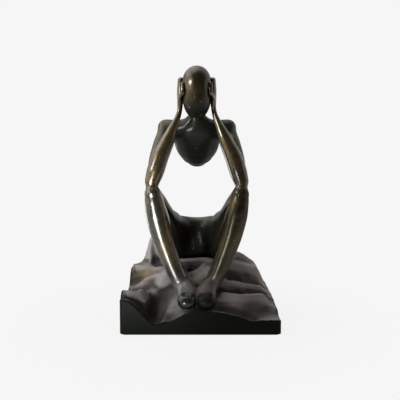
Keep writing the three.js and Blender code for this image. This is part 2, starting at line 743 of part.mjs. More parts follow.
function dowelsOf(side, joints, faces) {
  const dowel = (centre, direction, length, radius) => ({ centre, direction, length, radius });
  const elbowPlace = faces.elbow.point.clone().addScaledVector(faces.elbow.middle, ELBOW_DOWEL_UP);
  const kneePlace = faces.knee.point.clone().addScaledVector(faces.knee.middle, KNEE_DOWEL_DOWN);
  const [share, inward, back] = KNUCKLES;
  const { y, z } = joints.hand(share, inward, back);
  const templePlace = vec(FIGURE_X + side * HEAD_HALF_WIDTH, y, z);
  return {
    shoulder_dowel: dowel(faces.shoulder.point, faces.shoulder.normal, DOWEL_LENGTH, DOWEL_RADIUS),
    elbow_dowel: dowel(elbowPlace, faces.elbow.normal, LIMB_DOWEL_LENGTH, DOWEL_RADIUS),
    knee_dowel: dowel(kneePlace, faces.knee.normal, LIMB_DOWEL_LENGTH, DOWEL_RADIUS),
    elbow_rest_dowel: dowel(faces.rest.point, faces.rest.normal, LIMB_DOWEL_LENGTH, DOWEL_RADIUS),
    temple_pin: dowel(templePlace, vec(side, 0, 0), TEMPLE_PIN_LENGTH, TEMPLE_PIN_RADIUS),
  };
}

// Castings

// An egg that tips forward, grown all over by the amount swell.
function makeHead(swell) {
  const stops = [];
  for (let k = 1; k < HEAD_BANDS; k++) {
    const level = -Math.cos((Math.PI * k) / HEAD_BANDS);
    const roundness = level > 0 ? CROWN_ROUNDNESS : CHIN_ROUNDNESS;
    const scale = (1 - Math.abs(level) ** roundness) ** (1 / roundness);
    stops.push({
      at: vec(0, 0, level * (level > 0 ? CROWN_RISE : CHIN_DROP)),
      wide: HEAD_HALF_WIDTH * scale + swell,
      deep: HEAD_HALF_DEPTH * scale + swell,
    });
  }
  const geometry = loft(stops, X_AXIS, {
    sides: HEAD_SIDES,
    steps: 1,
    capSteps: 2,
    startCap: CHIN_DROP + stops[0].at.z + swell,
    endCap: CROWN_RISE - stops[stops.length - 1].at.z + swell,
  });
  const place = new THREE.Matrix4().makeRotationX(degToRad(HEAD_NOD)).setPosition(headCentre);
  return solidOf(geometry, place);
}

function makeChest() {
  const tip = vec(FIGURE_X, SHOULDER_Y + CHEST_BACK, SHOULDER_HEIGHT - CHEST_DROP);
  const stops = CHEST_GIRTHS.map(([share, lean, deep, wide]) => ({
    at: tip.clone().lerp(neckTop, share).add(vec(0, -lean * CHEST_HALF_DEPTH, 0)),
    wide: wide * SHOULDER_OUT,
    deep: deep * CHEST_HALF_DEPTH,
  }));
  for (const [share, wide, deep] of NECK_GIRTHS) {
    const at = tip.clone().lerp(neckTop, share);
    stops.push({ at, wide: wide * NECK_RADIUS, deep: deep * NECK_RADIUS });
  }
  // The neck runs on into the head, which copes it.
  stops.push({ at: neckTop.clone().lerp(headCentre, NECK_RUN), wide: NECK_RADIUS, deep: NECK_RADIUS });
  const caps = { startCap: CHEST_TIP_ROUNDING, endCap: NECK_END_ROUNDING };
  return solidOf(loft(stops, X_AXIS, { sides: CHEST_SIDES, steps: LOFT_STEPS, ...caps }));
}

function makeYoke() {
  const stops = [-1, -0.5, 0, 0.5, 1].map((share) => ({
    at: vec(
      FIGURE_X + share * SHOULDER_OUT,
      SHOULDER_Y - YOKE_SWAY * (1 - share * share),
      SHOULDER_HEIGHT - YOKE_DIP * (1 - share * share),
    ),
    wide: SHOULDER_RADIUS,
    deep: SHOULDER_RADIUS,
  }));
  const caps = { startCap: SHOULDER_RADIUS, endCap: SHOULDER_RADIUS };
  return solidOf(loft(stops, Y_AXIS, { sides: LIMB_SIDES, steps: LOFT_STEPS, ...caps }));
}

// The lap is one horseshoe from knee to knee through the hips.
function makeLap(joints) {
  const thigh = (name) =>
    limbStops(joints[name].knee, joints[name].hip, THIGH_RADIUS, THIGH_GIRTHS, SIDES[name]);
  const section = (at) => ({ at, wide: LAP_HALF_HEIGHT, deep: LAP_HALF_DEPTH });
  const flank = (name) => {
    const { hip } = joints[name];
    const x = lerp(lapCentre.x, hip.x, FLANK_OUT);
    const y = lerp(lapCentre.y, hip.y, FLANK_FORWARD);
    const z = lerp(lapCentre.z, hip.z, FLANK_FORWARD);
    return section(vec(x, y, z));
  };
  const stops = [
    ...thigh("right"),
    flank("right"),
    section(lapCentre),
    flank("left"),
    ...thigh("left").reverse(),
  ];
  const cap = THIGH_GIRTHS[0][3] * THIGH_RADIUS;
  return solidOf(loft(stops, Z_AXIS, { sides: LAP_SIDES, steps: LOFT_STEPS, startCap: cap, endCap: cap }));
}

function makeLowerLeg(side, joints) {
  const { knee, ankle, heel } = joints;
  const stops = limbStops(knee, ankle, SHIN_RADIUS, SHIN_GIRTHS, side);
  stops.push({
    at: heel.clone().add(vec(0, -INSTEP.forward * FOOT_LENGTH, INSTEP.rise * FOOT_HALF_HEIGHT)),
    wide: INSTEP.wide * FOOT_HALF_WIDTH,
    deep: INSTEP.deep * FOOT_HALF_HEIGHT,
  });
  const kneeCap = SHIN_GIRTHS[0][3] * SHIN_RADIUS;
  const shinCaps = { startCap: kneeCap, endCap: INSTEP.cap * FOOT_HALF_HEIGHT };
  const shin = loft(stops, X_AXIS, { sides: LIMB_SIDES, steps: LOFT_STEPS, ...shinCaps });
  const footStops = FOOT_GIRTHS.map(([share, wide, deep]) => ({
    at: heel.clone().add(vec(0, -share * FOOT_LENGTH, deep * FOOT_HALF_HEIGHT)),
    wide: wide * FOOT_HALF_WIDTH,
    deep: deep * FOOT_HALF_HEIGHT,
  }));
  const toeCap = TOE_ROUNDING * FOOT_HALF_WIDTH;
  const footCaps = { startCap: toeCap, endCap: toeCap };
  const foot = loft(footStops, X_AXIS, { sides: LIMB_SIDES, steps: LOFT_STEPS, ...footCaps });
  const middle = vec(FIGURE_X, 0, 0);
  return keepBeyond(solidOf(shin).add(solidOf(foot)), middle, vec(side, 0, 0), FEET_GAP / 2);
}

function makeUpperArm(side, joints) {
  const stops = limbStops(joints.shoulder, joints.elbow, UPPER_ARM_RADIUS, UPPER_ARM_GIRTHS, side);
  const elbowCap = stops[stops.length - 1].wide;
  const caps = { startCap: UPPER_ARM_RADIUS, endCap: elbowCap };
  return solidOf(loft(stops, X_AXIS, { sides: LIMB_SIDES, steps: UPPER_ARM_STEPS, ...caps }));
}

// A forearm with its flat hand, fingers up, and the thumb along the cheek.
function makeForearm(side, joints) {
  const { elbow, wrist, hand } = joints;
  const limb = limbStops(elbow, wrist, FOREARM_RADIUS, FOREARM_GIRTHS, side);
  const stops = limb.map(({ at, wide, deep }) => ({ at, wide: deep, deep: wide }));
  for (const [share, inward, back, breadth, thickness] of [PALM, KNUCKLES, FINGERTIPS]) {
    stops.push({
      at: hand(share, inward, back),
      wide: breadth * HAND_HALF_BREADTH,
      deep: thickness * HAND_HALF_THICKNESS,
    });
  }
  const elbowCap = FOREARM_GIRTHS[0][3] * FOREARM_RADIUS;
  const caps = { startCap: elbowCap, endCap: FINGER_ROUNDING };
  const arm = loft(stops, Y_AXIS, { sides: LIMB_SIDES, steps: LOFT_STEPS, ...caps });
  return solidOf(arm).add(makeThumb(side, hand));
}

function makeThumb(side, hand) {
  const forward = THUMB_FORWARD / HEAD_HALF_DEPTH;
  const cheek = HEAD_HALF_WIDTH * Math.sqrt(1 - forward * forward) + THUMB_BEDDING * THUMB_RADIUS;
  const round = (at, scale) => ({ at, wide: scale * THUMB_RADIUS, deep: scale * THUMB_RADIUS });
  const stops = [];
  for (const [share, inward, ahead, scale] of THUMB_ROOT) {
    stops.push(round(hand(share, inward, -ahead * HAND_HALF_BREADTH), scale));
  }
  for (const [share, scale] of THUMB_END) {
    const place = hand(share, 0, -WRIST_BACK - THUMB_FORWARD).setX(FIGURE_X + side * cheek);
    stops.push(round(place, scale));
  }
  const caps = { startCap: THUMB_RADIUS, endCap: THUMB_RADIUS };
  return solidOf(loft(stops, Y_AXIS, { sides: THUMB_SIDES, steps: LOFT_STEPS, ...caps }));
}

const joints = { right: jointsOf(SIDES.right), left: jointsOf(SIDES.left) };
const half = JOINT_GAP / 2;
const headRoom = makeHead(JOINT_GAP);
let head = makeHead(0);
let torso = makeChest().add(makeYoke());
let lap = makeLap(joints).subtract(bedding);

for (const [name, side] of Object.entries(SIDES)) {
  const faces = facesOf(joints[name]);
  const dowels = dowelsOf(side, joints[name], faces);
  const { shoulder_dowel, elbow_dowel, knee_dowel, elbow_rest_dowel, temple_pin } = dowels;
  const arm = makeUpperArm(side, joints[name]);

  torso = torso.add(keepBeyond(arm, faces.shoulder.point, opposite(faces.shoulder.normal), half));
  torso = drill(torso, [shoulder_dowel]);
  head = drill(head, [temple_pin]);

  let upperArm = keepBeyond(arm, faces.shoulder.point, faces.shoulder.normal, half);
  upperArm = keepBeyond(upperArm, faces.elbow.point, faces.elbow.normal, half);
  upperArm = keepBeyond(upperArm, faces.rest.point, faces.rest.normal, half);
  upperArm = drill(upperArm, [shoulder_dowel, elbow_dowel, elbow_rest_dowel]);
  addMesh(`${name}_upper_arm`, geometryOf(upperArm), PATINA);

  let forearm = makeForearm(side, joints[name]);
  forearm = keepBeyond(forearm, faces.elbow.point, opposite(faces.elbow.normal), half);
  forearm = keepBeyond(forearm, faces.rest.point, faces.rest.normal, half);
  forearm = drill(forearm.subtract(headRoom), [elbow_dowel, elbow_rest_dowel, temple_pin]);
  addMesh(`${name}_forearm`, geometryOf(forearm), PATINA);

  let lowerLeg = makeLowerLeg(side, joints[name]);
  lowerLeg = keepBeyond(lowerLeg, faces.knee.point, opposite(faces.knee.normal), half);
  lowerLeg = keepBeyond(lowerLeg, faces.rest.point, opposite(faces.rest.normal), half);
  lowerLeg = drill(lowerLeg.subtract(bedding), [knee_dowel, elbow_rest_dowel]);
  lowerLeg = lowerLeg.subtract(studHole(studs[`${name}_foot`]));
  addMesh(`${name}_lower_leg`, geometryOf(lowerLeg), PATINA);

  lap = trimNear(lap, faces.knee.point, faces.knee.normal, half);
  lap = trimNear(lap, faces.rest.point, opposite(faces.rest.normal), half);
  lap = drill(lap, [knee_dowel, elbow_rest_dowel]);

  for (const [dowelName, dowel] of Object.entries(dowels)) addDowel(`${name}_${dowelName}`, dowel, BRASS);
}

const neckDowel = {
  centre: neckTop,
  direction: headCentre.clone().sub(neckTop).normalize(),
  radius: DOWEL_RADIUS,
  length: DOWEL_LENGTH,
};
addDowel("neck_dowel", neckDowel, BRASS);
addMesh("head", geometryOf(drill(head, [neckDowel])), PATINA);
addMesh("torso", geometryOf(drill(torso.subtract(headRoom), [neckDowel])), PATINA);
addMesh("hips_and_thighs", geometryOf(lap.subtract(studHole(studs.seat))), PATINA);
addMesh("rock_base", geometryOf(makeRock()), ROCK_PATINA);

// Studs with their washers and nuts, under the rock

function ring(outline, bore, thickness) {
  const hole = new THREE.Path();
  hole.absarc(0, 0, bore, 0, 2 * Math.PI, true);
  outline.holes.push(hole);
  const options = { depth: thickness, bevelEnabled: false, curveSegments: RING_STEPS };
  return new THREE.ExtrudeGeometry(outline, options);
}

function hexagon(corner) {
  const corners = [];
  for (let k = 0; k < 6; k++) {
    const angle = (Math.PI / 3) * k;
    corners.push(new THREE.Vector2(corner * Math.cos(angle), corner * Math.sin(angle)));
  }
  return new THREE.Shape(corners);
}

for (const [name, stud] of Object.entries(studs)) {
  const length = stud.top - stud.bottom;
  const centre = vec(stud.x, stud.y, stud.bottom + length / 2);
  addDowel(`${name}_stud`, { centre, direction: Z_AXIS, radius: stud.radius, length }, STEEL);

  const bore = stud.radius + DOWEL_CLEARANCE;
  const disc = new THREE.Shape();
  disc.absarc(0, 0, stud.washerRadius, 0, 2 * Math.PI);
  const washer = addMesh(`${name}_washer`, ring(disc, bore, WASHER_THICKNESS), STEEL);
  washer.position.set(stud.x, stud.y, stud.seat - WASHER_THICKNESS);

  const nut = addMesh(`${name}_nut`, ring(hexagon(NUT_RATIO * stud.radius), bore, stud.nutHeight), STEEL);
  nut.position.set(stud.x, stud.y, stud.nutBottom);
}

// Closing plate, its screws and the felt

function screwGeometry(extra) {
  const profile = [
    new THREE.Vector2(0, 0),
    new THREE.Vector2(SCREW_HEAD_RADIUS + extra, 0),
    new THREE.Vector2(SCREW_RADIUS + extra, SCREW_HEAD_HEIGHT),
    new THREE.Vector2(SCREW_RADIUS + extra, SCREW_LENGTH - SCREW_RADIUS),
    new THREE.Vector2(0, SCREW_LENGTH),
  ];
  return new THREE.LatheGeometry(profile, SCREW_SIDES).rotateX(Math.PI / 2);
}

const plateInset = BASE_WALL + PLATE_CLEARANCE;
const plateWidth = BASE_WIDTH - 2 * plateInset;
const plateDepth = BASE_DEPTH - 2 * plateInset;
let plate = slab(plateWidth, plateDepth, PLATE_CORNER, RIM_BOTTOM, PLATE_TOP);
const slot = new THREE.BoxGeometry(3 * SCREW_HEAD_RADIUS, SCREW_SLOT_WIDTH, 2 * SCREW_SLOT_DEPTH);
const screw = solidOf(screwGeometry(0)).subtract(solidOf(slot));
posts.forEach((post, index) => {
  plate = plate.subtract(solidOf(screwGeometry(DOWEL_CLEARANCE), upright(post.x, post.y, RIM_BOTTOM)));
  const mesh = addMesh(`plate_screw_${index + 1}`, geometryOf(screw), STEEL);
  mesh.position.set(post.x, post.y, RIM_BOTTOM);
});
addMesh("base_plate", geometryOf(plate), BOARD);

const feltWidth = BASE_WIDTH - 2 * FELT_INSET;
const feltDepth = BASE_DEPTH - 2 * FELT_INSET;
addMesh("base_felt", geometryOf(slab(feltWidth, feltDepth, BASE_CORNER, 0, FELT_THICKNESS)), FELT);

export default part;
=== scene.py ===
import math
from contextlib import contextmanager

import bmesh
import bpy
import numpy as np
from mathutils import Matrix, Vector, noise
from mathutils.kdtree import KDTree


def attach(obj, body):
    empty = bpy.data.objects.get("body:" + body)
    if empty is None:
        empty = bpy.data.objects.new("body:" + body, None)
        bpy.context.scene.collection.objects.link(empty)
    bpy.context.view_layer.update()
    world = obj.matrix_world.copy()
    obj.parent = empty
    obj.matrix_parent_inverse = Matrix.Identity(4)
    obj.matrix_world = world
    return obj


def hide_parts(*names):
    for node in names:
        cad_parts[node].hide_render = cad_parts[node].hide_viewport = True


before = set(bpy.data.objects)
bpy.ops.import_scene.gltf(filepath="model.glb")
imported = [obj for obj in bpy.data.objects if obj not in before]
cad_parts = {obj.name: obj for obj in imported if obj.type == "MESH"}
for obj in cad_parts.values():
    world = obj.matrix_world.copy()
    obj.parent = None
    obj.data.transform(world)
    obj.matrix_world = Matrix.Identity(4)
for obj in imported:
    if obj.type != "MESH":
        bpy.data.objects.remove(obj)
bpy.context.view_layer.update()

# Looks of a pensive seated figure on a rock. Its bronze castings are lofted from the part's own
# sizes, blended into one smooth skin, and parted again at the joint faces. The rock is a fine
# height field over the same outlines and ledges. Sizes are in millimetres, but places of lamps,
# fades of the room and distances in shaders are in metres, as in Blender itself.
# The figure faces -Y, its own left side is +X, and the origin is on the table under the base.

MM = 0.001

# Camera, fitted to the corners of the base
CAMERA_PLACE = (-0.5, -643.5, 180)
CAMERA_PITCH = 4.64  # degrees below the horizon
CAMERA_LENS = 52.75
CAMERA_SENSOR = 36
CAMERA_CLIP = 10

# Rock base
BASE_WIDTH = 160
BASE_DEPTH = 155
BASE_HALF_X = BASE_WIDTH / 2
BASE_HALF_Y = BASE_DEPTH / 2
BASE_CORNER = 4
RIM_BOTTOM = 1
PLINTH_HEIGHT = 16
MOUND_RISE = 39
MOUND_CENTRE_Y = 34
MOUND_REACH_X = 80
MOUND_REACH_Y = 76
FRONT_BANK = 30
RIGHT_BANK = 20
LEFT_BANK = 15
ROCK_CELL = 0.8
RIM_FILLET = 1.6
ROOF_MARGIN = 4.5  # the hollow stays at least this far under the rock's surface
LEAST_RISE = 1  # a lowered block of rock still rises this far above the base's lower edge
SLAB_TOP = 200  # above all of the rock
CORNER_STEPS = 8
WELD = 0.001  # points of the CAD rock closer than this are one

# Lap and legs
FIGURE_X = -3.9
SEAT_Y = 46
SEAT_SINK = 4
LAP_HALF_HEIGHT = 25.5
LAP_HALF_DEPTH = 15
LAP_LIFT = 1.2  # the lap's sections are this much taller, and as much higher
LAP_WALL = 12  # half depth of the lap's middle, set back so that its inner bend is wide
HIP_OUT = 25
HIP_FORWARD = 13
HIP_RISE = 5.5
FLANK_OUT = 0.62
FLANK_FORWARD = 0.28
KNEE_OUT = 45.5
KNEE_Y = -37
KNEE_HEIGHT = 137
ANKLE_OUT = 14.5
ANKLE_Y = -41.5
ANKLE_RISE = 17
HEEL_OUT = 10.6
FOOT_OUT = 9.7
HEEL_Y = -38
SOLE_SINK = 2.4
FOOT_STUD_FORWARD = 14
FOOT_LENGTH = 31
FOOT_HALF_WIDTH = 9.3
FOOT_HALF_HEIGHT = 7.2
TOE_ROUNDING = 0.6
TOE_CAP = 0.95  # how far the toes round off, as a share of the foot's half width
FOOT_SQUARE = 2.2
FEET_GAP = 0.6
INSTEP_CAP = 4
THIGH_RADIUS = 13
SHIN_RADIUS = 11.6

# Torso, head and arms
SHOULDER_OUT = 34.3
SHOULDER_Y = 12
SHOULDER_HEIGHT = 207.5
SHOULDER_RADIUS = 10.1
YOKE_SWAY = 5
YOKE_DIP = 0.86
YOKE_SHARES = (-1, -0.5, 0, 0.5, 1)
CHEST_DROP = 41.6
CHEST_BACK = 17
CHEST_HALF_DEPTH = 15.4
CHEST_TIP_ROUNDING = 3.2
NECK_RISE = 13.5
NECK_FORWARD = 18
NECK_RADIUS = 5.7
NECK_RUN = 0.3
NECK_END_ROUNDING = 1.7
NECK_END_WIDE = 1.6
NECK_END_DEEP = 1.2
HEAD_RISE = 28
HEAD_FORWARD = 17
HEAD_HALF_WIDTH = 15.7
HEAD_HALF_DEPTH = 18.6
CROWN_RISE = 21.1
CHIN_DROP = 33
CROWN_ROUNDNESS = 2.2
CHIN_ROUNDNESS = 2.6
HEAD_NOD = 7
ELBOW_OUT = 1.6
ELBOW_BACK = 3
ELBOW_RISE = 12.7
UPPER_ARM_RADIUS = 8.5
STUB_SHARE = 0.22
FOREARM_RADIUS = 9.4
WRIST_DROP = 25
WRIST_BACK = 3
WRIST_INWARD = 0.33
HAND_LENGTH = 36
HAND_HALF_THICKNESS = 2.7
HAND_HALF_BREADTH = 7.2
FINGER_ROUNDING = 3
THUMB_RADIUS = 2.4
THUMB_FORWARD = 10
THUMB_BEDDING = 0.45

# Girths along each limb, as shares of its radius:
# [share of the way, bow outward, bow back, half width, half depth]
SHIN_GIRTHS = [
    (0, 0.02, 0, 0.74, 0.74),
    (0.1, 0.13, 0.05, 0.88, 0.88),
    (0.24, 0.26, 0.09, 1, 1),
    (0.45, 0.38, 0.14, 0.965, 1),
    (0.67, 0.345, 0.1, 0.855, 0.86),
    (0.83, 0.24, 0.035, 0.76, 0.76),
    (1, 0, 0, 0.705, 0.73),
]
THIGH_GIRTHS = [
    (0, 0, 0, 0.69, 0.69),
    (0.22, 0.1, 0, 0.87, 0.9),
    (0.5, 0.15, 0, 1.03, 1.04),
    (0.78, 0.1, 0, 1.68, 1.17),
    (1, 0, 0, 2.1, 1.12),
]
UPPER_ARM_GIRTHS = [
    (0, 0, 0, 1, 1),
    (0.3, 0.16, 0, 0.905, 0.94),
    (0.6, 0.21, 0, 0.845, 0.895),
    (1, -0.12, 0, 0.78, 0.8),
]
FOREARM_GIRTHS = [
    (0, -0.08, 0, 0.84, 0.86),
    (0.15, 0.03, 0, 0.98, 1),
    (0.33, 0.13, 0, 0.955, 0.98),
    (0.51, 0.065, 0, 0.83, 0.87),
    (0.7, -0.04, 0, 0.67, 0.725),
    (0.87, -0.075, 0, 0.53, 0.585),
    (1, 0, 0, 0.445, 0.555),
]
# The chest: (share of the way up, lean forward, half depth, half width)
CHEST_GIRTHS = [
    (0.04, 0, 0.487, 0.277),
    (0.12, -0.026, 0.68, 0.455),
    (0.3, -0.04, 0.91, 0.653),
    (0.48, 0, 1, 0.758),
    (0.66, 0.065, 0.974, 0.793),
    (0.78, 0.104, 0.844, 0.73),
    (0.86, 0.104, 0.65, 0.496),
]
# The neck above it: (share of the way up, half width, half depth)
NECK_GIRTHS = [
    (0.91, 2.6, 1.6),
    (0.96, 2, 1.4),
    (1, 1.75, 1.25),
]
# The waist where an elbow stands on its knee: (share of the way up, out, half width, half depth)
WAIST = [
    (0, 0.2, 7, 7),
    (0.5, 0.4, 6.2, 6.8),
    (1, 0, 7, 7),
]
WAIST_CAP = 6
# From the chest to a shoulder: (out, ahead of the shoulder, below it, radius), in millimetres
COLLAR = [
    (6, 10, 3, 13.5),
    (18, 7, 3.5, 12.5),
    (28, 3, 1.5, 10),
]
# From the ankle over the instep: (out, ahead of the heel, above the sole, half width, half depth)
INSTEP = [
    (13, 5.5, 22.5, 7.6, 5.5),
    (9.8, 14, 15.5, 9.8, 6),
    (9.6, 21, 11, 9.8, 6.6),
    (9.7, 27.7, 8, 9.6, 7.6),
]
# A foot: (share of its length, half width, half height)
FOOT_GIRTHS = [
    (0, 0.8, 0.85),
    (0.33, 0.85, 0.8),
    (0.67, 0.9, 0.75),
    (0.9, 0.85, 0.85),
]
# A hand above its wrist, in millimetres but for the share of its length:
# (share, out from the middle of the head, back, half breadth, half thickness)
HAND_GIRTHS = [
    (0.3, 17.2, 0.4, 7.4, 3.9),
    (0.6, 16.9, 0.8, 8.2, 3.9),
    (0.88, 16.4, 1.4, 7.2, 3.7),
]
# A thumb's root: (share of the hand, inward, ahead, radius), and its end: (share of the hand, radius)
THUMB_ROOT = [
    (0.12, 0.3, 0.2, 1.2),
    (0.3, 0.4, 0.8, 1.15),
]
THUMB_END = [
    (0.5, 1.05),
    (0.72, 0.9),
]
# Each limb: the joints that it runs between, its radius and its girths
LIMBS = {
    "thigh": ("knee", "hip", THIGH_RADIUS, THIGH_GIRTHS),
    "shin": ("knee", "ankle", SHIN_RADIUS, SHIN_GIRTHS),
    "upper_arm": ("shoulder", "elbow", UPPER_ARM_RADIUS, UPPER_ARM_GIRTHS),
    "forearm": ("elbow", "wrist", FOREARM_RADIUS, FOREARM_GIRTHS),
}

# The rock's edges and ledges
FRONT_OUTLINE = [
    (-80, 37), (-70, 33.5), (-57, 21.5), (-48, 13), (-38, 11), (-28, 14.5), (-16, 22),
    (-4, 26.5), (10, 24.5), (30, 21), (48, 16.8), (60, 15), (80, 15),
]
RIGHT_OUTLINE = [
    (-78, 37), (-66, 40.5), (-50, 39), (-30, 30), (-8, 26),
    (6, 32), (18, 42), (36, 45), (60, 43), (78, 40),
]
LEFT_OUTLINE = [
    (-78, 14.5), (-60, 14.5), (-47, 16.8), (-34, 19.2), (10, 20.5), (78, 21),
]
# (x, y of one end, x, y of the other end, rise, reach to the front, reach to the back)
LEDGES = [
    (-80, -66, -62, -60, 22, 9, 17),
    (-60, -42, -34, -16, 11, 9, 20),
    (-70, 24, -58, 34, 6, 10, 18),
    (-74, 64, -64, 54, 9, 12, 14),
    (-58, 59, -47, 61, 30, 9, 9),
    (22, -52, 66, -38, 6, 9, 16),
    (38, -14, 66, -6, 4, 9, 18),
    (42, 46, 64, 57, 16, 15, 22),
    (0, -24, 12, -6, 4, 7, 12),
]

# Folds of the rock: (rise, or drop below 0; half width; points of its line)
FOLDS = [
    (2, 5, [(-80, -60), (-66, -56), (-55, -46)]),
    (-5, 8, [(-80, -20), (-62, -18), (-50, -28)]),
    (3, 5, [(-80, -2), (-64, 0), (-50, -6)]),
    (-7, 13, [(-50, -44), (-46, -56)]),
    (3, 5, [(-22, -48), (-31, -55), (-37, -61), (-37, -73)]),
    (3, 8, [(-72, 22), (-60, 20), (-48, 12)]),
    (-5, 5, [(-53, 50), (-53, 34), (-44, 24)]),
    (-2.4, 5, [(-20, 8), (-14, -2), (-14, -14)]),
    (-5, 5, [(19, -33), (32, -34.5), (48, -30), (68, -16)]),
    (3.5, 6, [(24, -45), (44, -45), (66, -32)]),
    (-3, 7, [(20, -64), (36, -66), (50, -72)]),
    (3, 7, [(44, -57), (60, -53), (74, -46)]),
    (-9, 8, [(33, -6), (48, -2), (64, 8)]),
    (6, 8, [(32, 17), (52, 23), (68, 36)]),
    (-3, 5, [(44, 36), (58, 45), (70, 60)]),
    (3, 5, [(74, -14), (75, 8), (73, 30)]),
    (-4, 8, [(-36, 72), (-20, 75), (-4, 70)]),
    (3.5, 8, [(2, 74), (22, 70), (40, 75)]),
    (-3, 5, [(24, 60), (34, 67), (36, 77)]),
    (3, 6, [(-76, 42), (-66, 46), (-56, 44)]),
    (4, 9, [(-74, 26), (-70, 36), (-66, 48)]),
]
# Finer creases and a dimple, in the same way
CREASES = [
    (-3, 3.4, [(-80, -71), (-71, -68), (-60, -62)]),
    (3, 3, [(-59, 52), (-58, 34)]),
    (-6, 3.4, [(-10.5, 2), (-9.5, 5)]),
    (2.4, 4, [(-8, -12), (-1, -8), (4, 6), (12, 14)]),
    (5, 7, [(-22, 22), (-4, 20), (14, 22)]),
]
# The rock before the toes, which stand clear of it
TOE_DIP = (-2.3, 6, [(-16, -71), (-13, -71), (5, -71), (8, -71)])
# Plain rock under the figure: reach along X and Y from the middle of what stands there,
# and the shares of that reach between which the folds set in
SEAT_REST = (46, 24)
SOLE_REST = (24, 22)
REST_FADE = (0.8, 1.1)
# Small lumps all over the rock
LUMP_RISE = 0.75
LUMP_SIZE = 15
LUMP_OCTAVES = 4
LUMP_FALLOFF = 1.0
LUMP_GAP = 2.0  # each octave is this much finer than the one before

SIDES = {"right": -1, "left": 1}
X_AXIS = np.array([1.0, 0, 0])
Y_AXIS = np.array([0, 1.0, 0])
Z_AXIS = np.array([0, 0, 1.0])

# Fineness of the figure's skin
FIGURE_VOXEL = 0.8
LOFT_SIDES = 56
LOFT_STEPS = 14
CAP_STEPS = 10
TANGENT_STEP = 1e-4
GIRTH_TENSION = 0.4
HEAD_SUBDIVISIONS = 6
HEAD_ROOM = 0.05  # the torso keeps this far off the head
POLE = 1e-6  # a place nearer to the egg's axis than this is its pole
SHARP_ANGLE = 50  # degrees
UPRIGHT = 0.03  # a face whose normal rises less than this is an upright side

# Where the castings run into each other: (joint, reach, rounds of blending)
BLENDS = [
    ("shoulder", 26, 90), ("collar", 26, 80), ("waist", 14, 24), ("instep", 16, 24), ("toes", 10, 10),
]
NECK_BLEND = (42, 260)
LAP_BLEND = (46, 320)
TIP_BLEND = (18, 26)
NECK_LOW = 8  # the neck's blending is centred this far below its top
LAP_FRONT = 18  # the lap's blending is centred this far before its middle
COLLAR_PLACE = (17, 12, 5)  # out, ahead of the shoulder, below it
INSTEP_PLACE = (6, 21)  # ahead of the heel, above the sole
TOES_PLACE = (23, 14)
BLEND_PACE = 0.5
BLEND_CORE = 0.5  # the share of the reach that blends at the full pace
SHRINK_PACE = 0.5
GROW_PACE = -0.52
SKIN_ROUNDS = 14
LAST_ROUNDS = 6

# Cells that part the skin: fat copies of the limbs
CELL_ROOM = 1.45  # how much wider than its limb a cell is
CELL_MARGIN = 2
CELL_CAP = 16
CELL_SIDES = 24
CELL_STEPS = 4
HAND_CELL = 14  # a hand's cell is this much broader, to hold the thumb
FOOT_CELL = (0.4, 20, 30)  # share of the foot's length, half width, half depth

# Normals that the castings take from the whole skin
NORMAL_POINTS = 3
NORMAL_ROOM = 1e-5  # metres, so that no distance is nothing
SEAM_TURN = 0.6  # a face whose normal agrees less than this with the skin's is a joint face

# The rock's marks for its material
CAVITY_REACHES = (5, 12, 22)
CAVITY_DIRECTIONS = 8
CAVITY_CELL = 2
GRID_END = 0.001  # places on a grid's last line count as this far before it
RIM_FADE = (2, 9)  # near the rim, the rounded edge takes no painted ridge highlight
# Golden, dark brown and pale places: (x, y, reach)
ROCK_PLACES = {
    "gilded": [(-60, 15, 13), (46, 30, 12)],
    "browned": [
        (-46, -54, 18), (-64, -66, 9), (60, -54, 14), (48, -64, 10), (50, 4, 16), (60, -15, 9),
        (-8, 10, 14),
    ],
    "pale": [(-68, -2, 12), (-27, -62, 10), (72, 25, 12), (70, 2, 8), (34, -50, 10), (-56, 58, 12)],
}

# The figure's patina, with painted shade and painted top light. Pairs are the ends of a stretch over
# which it changes.
TOES_AHEAD = (22, 28)  # before the heel
TOES_ABOVE = (18, 24)  # above the sole
FACE_SHADE = [(0.65, 0, 13), (0.35, 14, 26)]  # (share, stretch below the head's middle)
HOLLOW_FRONT = (-20, -6)  # the painted shade in the space between chest and lap, along Y
HOLLOW_BACK = (34, 50)
HOLLOW_SIDE = (22, 34)  # out from the middle
HOLLOW_TOP = (224, 236)
LAP_SHADE = 0.8
DUST_AND_TOP_LIGHT = {"head": 1, "hips_and_thighs": 1}
DUST_AND_TOP_LIGHT_ELSEWHERE = 0.1
DUST_AND_TOP_LIGHT_RISE = (0.35, 0.95)  # dust and painted top light lie on what faces up
FOOT_DUST_AND_TOP_LIGHT = {"right_lower_leg": 1, "left_lower_leg": 0.75}
FOOT_DUST_AND_TOP_LIGHT_ABOVE = (14, 36)  # above the sole
FACE_WEAR = (12, 16, 11)  # drop below the head's middle, reach up and down, reach sideways
SHIN_WEAR = {"right_lower_leg": 1, "left_lower_leg": 0.3}
SHIN_WEAR_HEIGHT = (55, 85)
SHIN_INSIDE = 32  # the shins are worn as far out as this, and fade from there
SHIN_FADE = 14
FOREARM_WEAR = 0.7
# How polished each casting is, where it has no painted shade, dust or painted top light
POLISH = {
    "head": 0.5, "torso": 0.45, "hips_and_thighs": 0.4, "upper_arm": 0.5, "forearm": 0.8,
    "right_lower_leg": 1, "left_lower_leg": 0.15,
}
DULL = {"torso": 0.7}  # the share of its polish that a place with painted shade loses
DULL_ELSEWHERE = 0.9
DUST_AND_TOP_LIGHT_DULL = 0.75
TOE_POLISH = 0.5  # on the right foot

